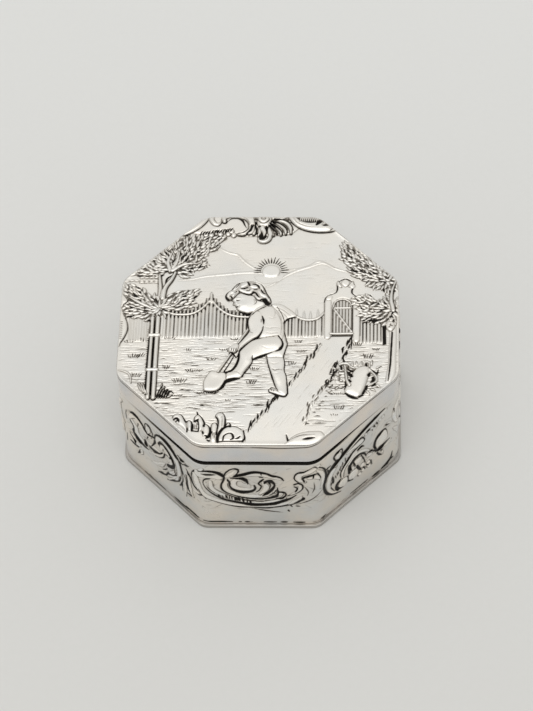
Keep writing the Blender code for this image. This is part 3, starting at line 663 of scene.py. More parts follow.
CURLS = (
    (((-5.2, 5.4), (-4.8, 6.1), (-4.2, 6.1), (-4.3, 5.5)), 0.34),
    (((-4.3, 6.6), (-3.8, 7.2), (-3.4, 7.7)), 0.26), (((-3, 7.3), (-2.4, 7.8), (-1.9, 8)), 0.4),
    (((-3.3, 6.7), (-2.6, 6.4), (-1.8, 6.2), (-1.2, 6.6)), 0.34),
    (((-1.5, 7.3), (-0.8, 7.2), (-0.5, 7)), 0.34), (((-0.6, 8), (0.1, 7.4), (0.5, 6.6)), 0.26),
    (((-0.2, 6.3), (0.3, 5.7), (1, 5.2), (1.5, 4.5)), 0.3), (((-0.8, 5.6), (-0.4, 5), (0.1, 4.8)), 0.2),
)


FACE_LINES = (
    (((-3.85, 4.75), (-3.5, 4.62), (-3.1, 4.72)), (0.05, 0.09, 0.03), 0.95),
    (((-3.75, 4.58), (-3.45, 4.5)), (0.04, 0.04), 0.7),
    (((-4.05, 5.15), (-3.5, 5.2), (-2.95, 5.1)), (0.03, 0.06, 0.03), 0.5),
    (((-3.8, 3.48), (-3.35, 3.5), (-3.2, 3.62)), (0.08, 0.06, 0.03), 0.9),
    (((-4.1, 4.05), (-3.9, 4.12)), (0.06, 0.04), 0.8), (((-3.55, 3.2), (-3.2, 3.15)), (0.03, 0.05), 0.4),
    (((-3.6, 4.3), (-3.4, 3.95)), (0.03, 0.04), 0.35),
    (((-1, 4.7), (-0.55, 4.5), (-0.55, 4.1), (-0.9, 3.75)), (0.05, 0.08, 0.09, 0.04), 0.7),
    (((-0.85, 4.4), (-0.8, 4.1)), (0.05, 0.04), 0.6),
    (((-3.2, 2.6), (-2.2, 2.1), (-1.3, 1.95), (-0.6, 2.5), (0.2, 3), (1, 3.4)),
     (0.06, 0.24, 0.34, 0.2, 0.1, 0.04), 1),
    (((-3, 3), (-2.2, 2.75), (-1.5, 2.9)), (0.04, 0.06, 0.03), 0.25),
)


def draw_head(s):
    """The child's head in profile, bowed over the work, with curled hair."""
    face = (
        (-4.5, 5.4), (-4.62, 4.95), (-4.3, 4.6), (-4.15, 4.35), (-4.35, 4), (-3.95, 3.8), (-3.85, 3.55),
        (-3.6, 3.35), (-3.7, 3.1), (-3.3, 2.75), (-2.7, 2.45), (-2, 2.25), (-1, 2.5), (0.2, 3.2), (1, 4),
        (1, 5), (0, 6.4), (-3.2, 7.2),
    )
    s.form(face, 0.26, 2.2, 0.2, (0.15, 0.1, 0.95))
    s.swell((-2.7, 3.7), (0.8, 0.6), 0.05)
    s.swell((-3.2, 4.6), (0.6, 0.3), -0.03)
    for points, widths, dark in FACE_LINES:
        s.groove(points, widths, dark, 0.05)
    hair = (
        (-5.5, 5.5), (-5.15, 6.3), (-4.5, 6.85), (-4, 7.6), (-3.2, 8.3), (-2, 8.5), (-0.9, 8.4), (0.1, 7.9),
        (0.7, 7), (1.1, 6), (1.6, 5.2), (1.85, 4.4), (1.5, 4), (0.9, 4.3), (0, 4.5), (-0.5, 4.8),
        (-0.9, 5.4), (-1.5, 5.65), (-2.3, 5.8), (-3, 6.1), (-3.5, 6), (-4, 5.4), (-4.5, 4.9), (-5.2, 4.9),
    )
    s.form(hair, 0.16, 0.6, 0.36, (0.16, 0.12, 1), 0.26)
    for line, half in CURLS:
        s.rib(line, (0.5 * half, half, half, 0.5 * half), 0.12, 0.44, (0.08, 0.06, 0.5))
    for points, widths in HAIR_LINES:
        s.groove(points, widths, 1, 0.08)
    s.form(((0.4, 4.75), (0.9, 4.95), (1.35, 4.3), (1.7, 4), (1.2, 3.8), (0.8, 4.1)), 0, 0.3, 0.1,
        (0.1, 0.05, 0.9), 0.95)
    s.rib(((-1.6, 1.4), (-0.9, 2.3), (0.2, 3.15), (1.3, 3.7)), (0.05, 0.14, 0.14, 0.05), 0.06, 0.4,
        (0.1, 0.05, 0.9))


ARM_LINES = (
    (((-1.2, 1.9), (-1.65, 1.1), (-1.8, 0.2), (-1.65, -0.8), (-1.5, -1.4)), (0.1, 0.12, 0.1, 0.12, 0.08)),
    (((0.5, 1.5), (0.75, 0.6), (0.8, -0.2)), (0.08, 0.22, 0.05)),
    (((0.75, -0.5), (0.55, -1.5), (0, -2.5), (-0.9, -3.1), (-2, -4.1), (-2.9, -5.2), (-3.2, -6)),
     (0.06, 0.12, 0.16, 0.14, 0.14, 0.18, 0.12)),
    (((-1.6, -1.5), (-2.5, -3), (-3.2, -4)), (0.06, 0.08, 0.08)), (((0.35, 0.8), (0.4, 0.2)), (0.05, 0.03)),
    (((-1.4, -1.6), (-0.9, -1.9)), (0.05, 0.03)), (((-4.3, -5.35), (-4.15, -4.8)), (0.07, 0.04)),
    (((-3.95, -5.4), (-3.8, -4.8)), (0.07, 0.04)), (((-3.55, -5.3), (-3.45, -4.8)), (0.07, 0.04)),
    (((-4.6, -5.6), (-3.9, -5.75), (-3.5, -6.3), (-3.1, -5.9)), (0.14, 0.16, 0.1, 0.06)),
    (((-4.9, -5.1), (-4.6, -4.4), (-3.9, -3.85)), (0.07, 0.1, 0.08)),
)


def draw_arm(s):
    """The spade, and the arm that holds it."""
    blade = (
        (-6.9, -9), (-6.1, -9.15), (-5.1, -9.4), (-5.05, -10.9), (-5.5, -11.8), (-6.2, -12.5),
        (-7.2, -12.75), (-8.3, -12.6), (-8.5, -12), (-8.45, -10.8), (-7.9, -9.6), (-7.4, -8.95),
    )
    s.form(blade, 0.12, 0.9, 0.12, (0.14, 0.1, 0.9))
    s.swell((-6.8, -10.5), (1.1, 1.3), -0.09)
    s.groove(((-5, -10.9), (-5.5, -12), (-6.3, -12.75)), (0.2, 0.26, 0.1), 1, 0.1)
    s.groove(((-6.3, -12.75), (-7.4, -12.95), (-8.4, -12.75)), (0.1, 0.14, 0.08), 0.9, 0.06)
    s.rib(((-1.7, -1), (-6.25, -9.2)), (0.18,), 0.12, 0.3, (0.1, 0.12, 1))
    arm = (
        (-1.5, 1.5), (-0.8, 2.4), (0, 2.4), (0.45, 1.6), (0.65, 1), (0.8, 0.2), (0.75, -0.8), (0.4, -1.8),
        (-0.1, -2.5), (-0.9, -3), (-1.8, -3.7), (-2.7, -4.7), (-3.1, -5.3), (-3.4, -4.5), (-3.2, -4),
        (-2.4, -2.9), (-1.5, -1.5), (-1.75, -0.2), (-1.8, 0.7),
    )
    s.form(arm, 0.1, 1.2, 0.33, (0.08, 0.02, 0.2))
    s.form(((-4.75, -5.2), (-4.75, -4.7), (-4.2, -4.1), (-3.5, -3.85), (-3.1, -4.2), (-3.2, -4.9),
        (-3.6, -5.5), (-4.3, -5.6)), 0.18, 0.8, 0.4, (0.12, 0.1, 0.9))
    for points, widths in ARM_LINES:
        s.groove(points, widths, 1, 0.06)


CAN_LINES = (
    (((14.1, -13.45), (14.7, -14), (15.5, -14.35), (16.1, -14.5)), (0.08, 0.24, 0.26, 0.1)),
    (((16.2, -14.2), (16.8, -13.85)), (0.12, 0.2)), (((16.9, -13.5), (17.15, -12.9)), (0.22, 0.16)),
    (((17.35, -12.7), (17.5, -12.1)), (0.24, 0.18)),
    (((18.45, -10.5), (18.5, -11), (18.1, -11.4)), (0.24, 0.3, 0.14)),
    (((18.3, -12.15), (18.8, -11.8)), (0.12, 0.16)), (((17.75, -10.15), (18, -9.6)), (0.28, 0.1)),
    (((18.1, -8.9), (18.8, -9.6), (19.3, -9.5)), (0.06, 0.24, 0.12)),
    (((19.1, -9.9), (19.3, -9)), (0.14, 0.08)), (((13.6, -6.6), (13.85, -7.4)), (0.08, 0.2)),
    (((12.75, -7.7), (12.6, -8)), (0.16, 0.1)), (((13.4, -8.4), (13.45, -8.9)), (0.22, 0.14)),
    (((14.45, -8.3), (14.5, -8.8), (14.9, -9.15), (15.4, -9.15)), (0.1, 0.15, 0.2, 0.14)),
    (((14.45, -9.3), (14.8, -9.9), (15.15, -10.4)), (0.08, 0.34, 0.2)),
    (((14.65, -10.9), (14.9, -11.4)), (0.14, 0.2)),
    (((14, -11.2), (14.15, -12), (13.9, -12.7)), (0.1, 0.14, 0.06)),
    (((17.4, -8), (17.45, -8.4)), (0.2, 0.16)),
    (((12.9, -8.9), (12.1, -9.8), (11.7, -11.2)), (0.08, 0.14, 0.1)),
)


def draw_can(s):
    """The watering can that stands in the grass, with leaves round it."""
    for x, y in (
        (11.6, -11.9), (12.2, -12.2), (12.8, -12.3), (13.3, -12.2), (12, -9.6), (11.7, -10.8), (12.9, -9.9),
        (12.3, -8.6), (15.2, -7.9), (15.9, -7.8), (16.6, -7.9), (18.3, -7.7), (19.3, -8.6), (19.2, -12.2),
        (17.6, -13.4), (18.4, -12.9), (13.3, -10.9), (13.3, -9), (11.5, -12.9),
    ):
        a = math.atan2(y + 11, x - 16.2) + rng.uniform(-0.6, 0.6)
        c, d = math.cos(a), math.sin(a)
        s.leaf((x - 0.4 * c, y - 0.4 * d), (x + 0.5 * c, y + 0.5 * d), 0.17, 0.1, 0.1, 0.05,
            (0.13, 0.08, 0.95))
    body = (
        (15.4, -9.3), (15.9, -8.8), (16.6, -8.4), (17.3, -8.3), (17.9, -8.7), (18, -9.4), (17.6, -10.6),
        (17.3, -11.8), (16.9, -13), (16.4, -14), (15.6, -14.2), (14.2, -13.5), (14, -12.9), (14.4, -11.8),
        (14.9, -10.5),
    )
    s.form(body, 0.22, 1.2, 0.1, (0.14, 0.08, 0.8))
    s.rib(((17.8, -8.9), (18.6, -9.9), (19, -10.6), (18.9, -11.4), (18.2, -11.9), (17.5, -12.2)),
        (0.13, 0.17, 0.17, 0.14), 0.14, 0.16, (0.1, 0.06, 0.8))
    s.rib(((14.7, -12), (14.3, -11), (14.1, -9.5), (13.95, -8.2)), (0.24, 0.2, 0.18, 0.16), 0.16, 0.18,
        (0.14, 0.08, 0.95))
    s.rib(((13.1, -8.1), (13.8, -7.85), (14.5, -8), (14.9, -8.5), (15.5, -8.8)), (0.16, 0.2, 0.17, 0.14),
        0.14, 0.2, (0.12, 0.08, 0.9))
    s.rib(((17, -8.3), (17.1, -7.8), (17.5, -7.6), (17.9, -7.8), (17.9, -8.5)), (0.12, 0.14, 0.12), 0.12,
        0.2, (0.1, 0.08, 0.8))
    for points, widths in CAN_LINES:
        s.groove(points, widths, 1, 0.1)
    for _ in range(9):
        x, y = rng.uniform(11.8, 13.4), rng.uniform(-12, -9)
        s.groove(((x, y), (x + rng.uniform(-0.05, 0.2), y + 0.8)), 0.07, rng.uniform(0.5, 0.95), 0.05)


BORDER_LINES = (
    (((1.5, 20.7), (2.6, 20.4), (3.7, 19.5), (4.3, 18.4)), (0.22, 0.2, 0.16, 0.05)),
    (((1.3, 20.3), (2.2, 19.7), (3, 18.9), (3.5, 18)), (0.2, 0.2, 0.16, 0.05)),
    (((1.1, 19.9), (1.7, 19.2), (2.3, 18.5), (2.7, 17.9)), (0.16, 0.2, 0.16, 0.05)),
    (((2, 21.2), (3.4, 21), (4.6, 20.2), (5.2, 18.9)), (0.2, 0.17, 0.15, 0.05)),
    (((-1.2, 19.9), (-0.9, 18.9), (-1.1, 18.1)), (0.16, 0.2, 0.08)),
    (((-1.7, 19.9), (-1.9, 19), (-2.6, 18.2)), (0.16, 0.22, 0.08)),
    (((-2.3, 19.2), (-3.2, 18.5), (-4, 18.2)), (0.14, 0.22, 0.06)),
    (((-1.3, 22.4), (-1.1, 21.2), (-1, 20.2)), (0.2, 0.26, 0.14)),
    (((-0.4, 19.7), (-0.1, 18.9), (-0.15, 18.2)), (0.2, 0.16, 0.05)),
    (((0.7, 19.6), (0.8, 18.8), (0.6, 18)), (0.2, 0.16, 0.05)),
    (((1.6, 22.4), (2, 21.8), (2.9, 21.9), (3.5, 22.5)), (0.12, 0.16, 0.16, 0.1)),
    (((4.3, 22.4), (4.4, 21.4), (5.2, 20.2)), (0.2, 0.24, 0.16)),
)


def draw_top_border(s):
    """The scrolled border at the back: a smooth lobe, scrolls, a boss with leaves, and an acanthus leaf."""
    band = (
        (-9.2, 23.5), (-9, 21.6), (-9.5, 20.6), (-10.5, 19.5), (-11.8, 18.7), (-9.6, 18.4), (-7.8, 19),
        (-6, 19), (-4.6, 18.1), (-3, 17.85), (0, 17.9), (3, 18), (4.8, 18.2), (6, 19.3), (6, 23.5),
    )
    s.form(band, 0.1, 0.5, 0.03, (0.18, 0.06, 0.6), 0, False)
    s.form(((-1.4, 23), (-1.5, 21.4), (-0.6, 20.6), (0.2, 20), (1.8, 19.2), (2.6, 20.3), (4.4, 20.4),
        (4.6, 23)), 0, 0.5, -0.05, (0.2, 0.05, 0.9), 0.6)
    lobe = (
        (-14.6, 17.9), (-13.4, 18.15), (-11.8, 18.75), (-10.5, 19.6), (-9.5, 20.7), (-9.05, 21.7),
        (-9.2, 23.5), (-14, 22), (-16, 19),
    )
    s.form(lobe, 0.34, 1.6, 0.06, (0.3, 0.12, 0.9))
    s.groove(((-13.5, 18.15), (-12.6, 18.2), (-11.9, 18.5)), 0.22, 0.95, 0.08)
    s.rib(((-8, 22.6), (-8.5, 21.6), (-8.1, 20.7), (-7.4, 20.3), (-6.9, 20.8)), (0.3, 0.36, 0.36, 0.1), 0.2,
        0.08, (0.24, 0.1, 0.9))
    buds = (
        (-9.3, 18.3), (-8.4, 18.2), (-7.6, 18.7), (-6.9, 18.4), (-6.3, 18.9), (-5.6, 18.4), (-5.1, 18.9),
        (-4.7, 18.1),
    )
    for x, y in buds:
        s.form(round_outline(x, y, 0.42, 0.46, 8), 0.16, 0.4, 0.08, (0.18, 0.08, 0.95))
    scroll = (
        (-2.5, 18.6), (-1.9, 19.5), (-1.75, 20.4), (-2.1, 21.3), (-2.9, 22), (-4.2, 22.35), (-5.6, 22.2),
        (-6.4, 21.6), (-6.3, 20.9),
    )
    s.rib(scroll, (0.2, 0.5, 0.62, 0.6, 0.5, 0.4, 0.3), 0.3, 0.12, (0.3, 0.14, 1))
    s.groove(((-5.8, 20.9), (-5.1, 21.5), (-4.1, 21.55), (-3.3, 21), (-2.95, 20.2), (-2.6, 19.5)), 0.2, 1,
        0.08)
    s.groove(((-2.2, 19.4), (-2.25, 20.6), (-3, 21.6), (-4.4, 21.95)), 0.08, 0.45, 0.05)
    for line, half in (
        (((-3.9, 18.25), (-3.1, 18.3), (-2.2, 18.9), (-1.6, 20)), 0.36),
        (((-2.2, 18.3), (-1.6, 18.7), (-1.3, 19.8)), 0.3),
        (((-1.4, 18.2), (-0.9, 18.9), (-0.9, 20.2)), 0.34),
        (((-0.6, 17.9), (-0.35, 18.9), (-0.5, 19.9)), 0.28),
    ):
        s.rib(line, (0.6 * half, half, half, 0.3 * half), 0.26, 0.12, (0.22, 0.12, 1))
    for line, half in (
        (((1.7, 21), (2.6, 20.9), (3.9, 20.5), (4.6, 19.5), (4.75, 18.3)), 0.36),
        (((1.7, 20.8), (2.8, 20.2), (3.7, 19.3), (3.9, 18.2)), 0.36),
        (((1.5, 20.4), (2.4, 19.6), (3, 18.8), (3.1, 18)), 0.34),
        (((1.2, 20), (1.8, 19.1), (2.4, 18.3)), 0.32), (((0.9, 19.8), (1.4, 18.8), (1.9, 17.9)), 0.3),
    ):
        s.rib(line, (0.3 * half, 0.8 * half, half, 0.9 * half, 0.4 * half), 0.24, 0.14, (0.24, 0.14, 1))
    s.rib(((0.9, 22.6), (1.5, 21.75), (2.5, 21.45), (3.6, 21.8), (4.1, 22.6)), (0.3, 0.4, 0.44, 0.4, 0.3),
        0.22, 0.14, (0.24, 0.12, 1))
    s.form(round_outline(0.3, 20.8, 1.25, 1.35, 16), 0.34, 1.2, 0.18, (0.28, 0.14, 1))
    s.rib(((-0.5, 21.9), (-0.4, 21), (0.2, 20.6), (0.8, 21), (0.7, 21.7)), (0.16, 0.26, 0.3, 0.28, 0.14),
        0.14, 0.44, (0.2, 0.14, 0.95))
    s.rib(((-0.3, 22.6), (0.1, 21.6), (0.35, 21.2)), (0.12, 0.2, 0.1), 0.1, 0.4, (0.14, 0.1, 1))
    s.rib(((1.1, 19), (1.35, 18), (1.05, 17), (0.25, 16.6), (-0.5, 16.9), (-0.55, 17.5)),
        (0.3, 0.34, 0.34, 0.3, 0.24, 0.1), 0.22, 0.14, (0.22, 0.1, 0.85))
    for points, widths in BORDER_LINES:
        s.groove(points, widths, 1, 0.1)
    for x in np.arange(-10.2, -4.7, 0.46):
        foot = (x + rng.uniform(-0.1, 0.1), 18.15 + 0.2 * rng.random() + 0.12 * (x + 10))
        line = (foot, (foot[0] + 0.14, foot[1] + 0.45), (foot[0] + 0.42, foot[1] + 0.75))
        s.groove(line, (0.14, rng.uniform(0.1, 0.18), 0.04), 1, 0.06)
    s.form(((-0.3, 17.3), (0.3, 17.2), (0.75, 17.9), (0.2, 18.3), (-0.5, 17.8)), 0, 0.2, 0, (0.1, 0.05, 0.9),
        0.95)
    s.rib(((0, 19.4), (0.35, 18.6), (0.3, 17.8)), (0.4, 0.36, 0.1), 0.2, 0.2, (0.2, 0.1, 0.95))
    acanthus = (
        (4.4, 23), (4.4, 21.6), (4.9, 20.6), (5.8, 19.7), (7.1, 19), (8.6, 18.6), (10.1, 18.5), (11.6, 18.7),
        (12.7, 19.3), (12.9, 20.5), (10, 23),
    )
    s.form(acanthus, 0.26, 0.9, 0.1, (0.34, 0.14, 1))
    s.form(((5.1, 23.2), (5.4, 21.9), (6.1, 21), (7.2, 20.45), (8.7, 20.4), (9.6, 20.9), (10.4, 21.1),
        (10.2, 21.7), (8.3, 21.6), (7.2, 22.2), (6.5, 23.2)), 0, 0.6, -0.02, (0.14, 0.06, 0.9), 0.8)
    for x in np.arange(6.2, 9.9, 0.34):
        y = 21.2 - 0.1 * abs(x - 7.5)
        s.rib(((x, y - 0.4), (x + 0.3, y + 0.9)), (0.05, 0.1, 0.1, 0.04), 0.1, 0.04, (0.1, 0.05, 0.9))
    s.groove(((4.85, 22.2), (5.3, 21.1), (6.1, 20.2), (7.6, 19.55), (9, 19.5)), 0.09, 0.5, 0.06)
    s.form(((5.7, 23.3), (6.2, 22.2), (7.4, 22), (8.6, 22.6), (8.2, 23.3)), 0.2, 0.6, 0.12,
        (0.16, 0.08, 0.85))
    for a, b, c in (((9.4, 21.1), (10, 20.6), (8.9, 19.8)), ((10.4, 20.9), (11.4, 20), (10.1, 19.7))):
        s.form((a, b, c), 0, 0.2, 0, (0.12, 0.05, 0.9), 1)
    s.rib(((10.2, 21.4), (10.5, 20.6), (10, 19.9)), (0.14, 0.24, 0.1), 0.16, 0.2, (0.16, 0.08, 0.9))
    s.groove(((11.2, 18.7), (11.9, 19.2), (12.6, 19.1)), 0.13, 0.9, 0.06)


RIM_LEAF_LINES = (
    (((-13.2, -17.7), (-12.9, -17.2), (-12.3, -17), (-11.7, -17.3), (-11.3, -18), (-11, -18.5),
     (-10.5, -18.3), (-10.1, -18.5)), (0.06, 0.08, 0.1, 0.17, 0.1)),
    (((-12.95, -18.1), (-12.45, -17.95), (-12.1, -18.4), (-12.1, -18.7)), (0.14, 0.24, 0.2, 0.06)),
    (((-12.6, -18.5), (-12.3, -18.35)), (0.1, 0.16)), (((-10.75, -19.6), (-10.75, -20.35)), (0.08, 0.14)),
    (((-10.15, -18.5), (-9.95, -19.1), (-10, -20.15)), (0.12, 0.2, 0.16)),
    (((-10, -20.15), (-9.1, -20.3)), (0.14, 0.12)),
    (((-9.7, -18.4), (-9.65, -17.7), (-9.2, -17.25), (-8.75, -17.5), (-8.35, -18.1), (-8.05, -18.9),
     (-8.2, -19.4)), (0.08, 0.08, 0.12, 0.16, 0.12)),
    (((-9.3, -16.6), (-9.15, -17.2)), (0.08, 0.14)),
    (((-9.7, -18.45), (-9.3, -18.4), (-9, -18.15)), (0.12, 0.24, 0.12)),
    (((-9.1, -18.4), (-8.95, -19.4), (-8.95, -20.3)), (0.16, 0.08, 0.12)),
    (((-8.1, -18.9), (-7.5, -19.2), (-7.15, -19.8), (-7.05, -20.6), (-7.25, -21.3), (-7.7, -21.6)),
     (0.1, 0.1, 0.2, 0.28, 0.12)),
    (((-8.1, -19.1), (-8.05, -19.5)), (0.14, 0.16)), (((-8.3, -20.4), (-8.15, -20.8)), (0.16, 0.16)),
    (((-7.9, -21.2), (-7.45, -21.35)), (0.12, 0.18)), (((-7.5, -21.9), (-7.2, -22.1)), (0.14, 0.2)),
    (((-6.95, -21.8), (-7, -20.5), (-6.95, -19.3), (-6.6, -18.75), (-6.2, -18.8), (-6, -19.3)),
     (0.04, 0.07, 0.08, 0.08)),
    (((-6.8, -20.5), (-6.6, -21.3)), (0.07, 0.05)), (((-6.45, -20.7), (-6.35, -21.7)), (0.08, 0.05)),
    (((-6.2, -20.6), (-6.15, -21.1)), (0.07, 0.07)),
    (((-6.35, -17.6), (-6, -18.1), (-5.85, -18.9), (-6, -20.2), (-6, -21)), (0.08, 0.15, 0.12, 0.08)),
    (((-6.35, -17.6), (-6.2, -17.1), (-5.6, -16.85), (-5.1, -17.1), (-4.8, -17.9), (-4.75, -18.8),
     (-4.8, -19.5)), (0.05, 0.07, 0.08, 0.14, 0.17)),
    (((-5.3, -17.6), (-5.2, -18.8), (-5.3, -20)), (0.03, 0.05, 0.03)),
    (((-4.7, -19.4), (-4.5, -18.9), (-4.2, -18.75), (-3.95, -19.1), (-3.95, -19.6)), (0.07, 0.07, 0.2)),
    (((-5.85, -22.3), (-5.85, -21.4), (-5.4, -20.4), (-4.8, -19.75), (-3.9, -19.45), (-2.9, -19.6),
     (-2.2, -20.1)), (0.26, 0.3, 0.26, 0.15, 0.09, 0.07)),
    (((-1.85, -20.2), (-1.7, -21), (-1.6, -21.8), (-1.9, -22.3)), (0.08, 0.14, 0.18)),
    (((-5.9, -22.35), (-3.8, -22.32), (-1.9, -22.3)), (0.1, 0.1)),
    (((-5, -22.2), (-4.9, -21.4), (-4.4, -20.95), (-3.85, -20.85), (-3.5, -21.2), (-3.4, -21.8),
     (-3.75, -22)), (0.12, 0.14, 0.1, 0.2, 0.14)),
    (((-3.1, -21.85), (-2.7, -21.8), (-2.3, -21.4)), (0.05, 0.2, 0.08)),
    (((4.9, -21.1), (5.2, -22.2)), (0.08, 0.2)),
)


RIM_LEAVES = (
    ((-13.1, -17.6), (-12.6, -17.05), (-12, -17.1), (-11.5, -17.6), (-11.15, -18.3), (-10.85, -19.4),
     (-10.75, -20.3), (-11.6, -19.5), (-12.6, -18.6)),
    ((-10.8, -18.5), (-10.4, -18.3), (-10.05, -18.6), (-9.95, -19.4), (-10, -20.2), (-10.6, -20)),
    ((-9.7, -18.3), (-9.6, -17.6), (-9.15, -17.2), (-8.7, -17.5), (-8.3, -18.2), (-8.1, -18.9), (-8.3, -20),
     (-8.9, -20.3), (-9, -19.2)),
    ((-8.1, -19.1), (-7.6, -19.2), (-7.2, -19.8), (-7.1, -20.7), (-7.5, -21.5), (-8.2, -21.2),
     (-8.3, -20.2)),
    ((-6.95, -22.2), (-7, -20.5), (-6.95, -19.3), (-6.6, -18.8), (-6.2, -18.85), (-5.95, -19.4),
     (-6, -22.2)),
    ((-6.3, -17.7), (-6.2, -17.1), (-5.6, -16.9), (-5.1, -17.1), (-4.8, -17.9), (-4.8, -19.6), (-5.4, -20.5),
     (-6, -21.6), (-5.9, -18.8)),
    ((-4.7, -19.7), (-4.5, -18.95), (-4.2, -18.8), (-3.95, -19.15), (-3.9, -19.9)),
    ((-5.9, -22.4), (-5.8, -21.3), (-5.4, -20.3), (-4.8, -19.75), (-3.9, -19.5), (-2.9, -19.65),
     (-2.1, -20.2), (-1.7, -21), (-1.6, -21.8), (-1.9, -22.4)),
)


def draw_front_leaves(s):
    """The curled leaves and the shell at the front rim, and the flat leaf to their right."""
    soft = (0.12, 0.06, 0.6)
    for outline in RIM_LEAVES:
        s.form(outline, 0.2, 0.55, 0.06, soft)
    for points, widths in RIM_LEAF_LINES:
        s.groove(points, widths, 1, 0.1)
    for x in (-9.8, -9.55, -9.3):
        s.groove(((x, -18.8), (x + 0.05, -19.9)), 0.09, 0.6, 0.05)
    s.form(((4.9, -23.6), (5.5, -22), (6.6, -21.1), (7.8, -20.7), (9.2, -20.6), (10.6, -20.9), (11, -23.6)),
        0.16, 0.8, 0.03, (0.2, 0.08, 0.8))
    s.groove(((5.4, -22.2), (7.2, -21.35), (9.4, -21.2)), 0.1, 0.6, 0.05)
    s.form(((7.5, -22.05), (8.4, -21.7), (9.4, -21.75), (8.4, -22.1)), 0, 0.2, 0.05, (0.1, 0.05, 0.9), 1)


# The wall's scrolls. Each side of the octagon has its own piece, x along it from its left corner and y up.
# The inked lines are the black ones round and between the raised forms, with half widths

FRONT_RAISED = (
    ("form", ((-0.9, 16.7), (0.5, 17), (1.6, 17.05), (2.7, 16.7), (3.5, 16), (3.8, 15.3), (3.2, 14.4),
     (1.8, 14.9), (-0.8, 15)), 0.3),
    ("rib", ((-1.1, 15), (-0.8, 13), (-0.3, 11), (0.6, 9.6), (2, 8.5), (4, 7.4), (6, 6.8), (8, 6.6),
     (10, 6.5), (12, 6.8), (14, 7.6), (15.6, 8.8)), (0.5, 0.6, 0.5, 0.4, 0.36, 0.34, 0.34, 0.36, 0.4)),
    ("rib", ((1.6, 13.8), (1.7, 12.2), (2.3, 11), (3.6, 9.7), (5.2, 8.6), (7.5, 7.9), (9.5, 7.7), (11.5, 8),
     (13.4, 9)), (0.3, 0.36, 0.4, 0.36, 0.3, 0.2)),
    ("rib", ((4.2, 14), (3.9, 12.9), (4.1, 11.6), (4.9, 10.6), (6.2, 10), (8, 9.5), (9.6, 9.6), (11, 10.2),
     (12, 11.4)), (0.36, 0.44, 0.5, 0.5, 0.46, 0.36, 0.16)),
    ("rib", ((8.3, 12.5), (8.3, 11.8), (7.6, 11.6), (6.3, 11.7), (5.4, 12.4), (5.3, 13.6), (5.8, 14.4),
     (6.7, 14.4), (7.1, 13.7)), (0.16, 0.34, 0.44, 0.5, 0.46, 0.4, 0.2)),
    ("rib", ((9.4, 10.2), (10.2, 11.2), (10.5, 12.3), (10.2, 13.2), (9.9, 13.9)),
     (0.2, 0.4, 0.5, 0.42, 0.2)),
    ("leaf", (11.8, 10.4), (12.2, 12.1), 0.34, 0.1), ("leaf", (12.2, 9.2), (13.4, 10.6), 0.5, 0.1),
    ("leaf", (14, 7.2), (16.2, 9.6), 0.55, -0.1), ("leaf", (4.1, 15.2), (6, 17.9), 0.62, -0.12),
    ("rib", ((5.6, 15.3), (7.4, 15.9), (9, 16.2), (10.4, 15.8), (11.6, 15.2), (12.9, 14.6)),
     (0.2, 0.44, 0.55, 0.5, 0.4, 0.2)),
    ("rib", ((19.2, 18), (17.7, 16.9), (16.3, 16.3), (15.7, 15.4), (15.8, 14.3), (16.6, 13.9)),
     (0.3, 0.46, 0.5, 0.5, 0.3)),
    ("rib", ((17.4, 14.9), (18.4, 15), (19.3, 14)), (0.3, 0.5, 0.3)),
    ("rib", ((15.1, 12.9), (15.8, 12.9), (15.9, 11.9), (15.4, 10.9), (14.4, 10)), (0.2, 0.3, 0.3, 0.16)),
    ("hatch", (2.6, 9.8), (8, 7.7), 24),
)
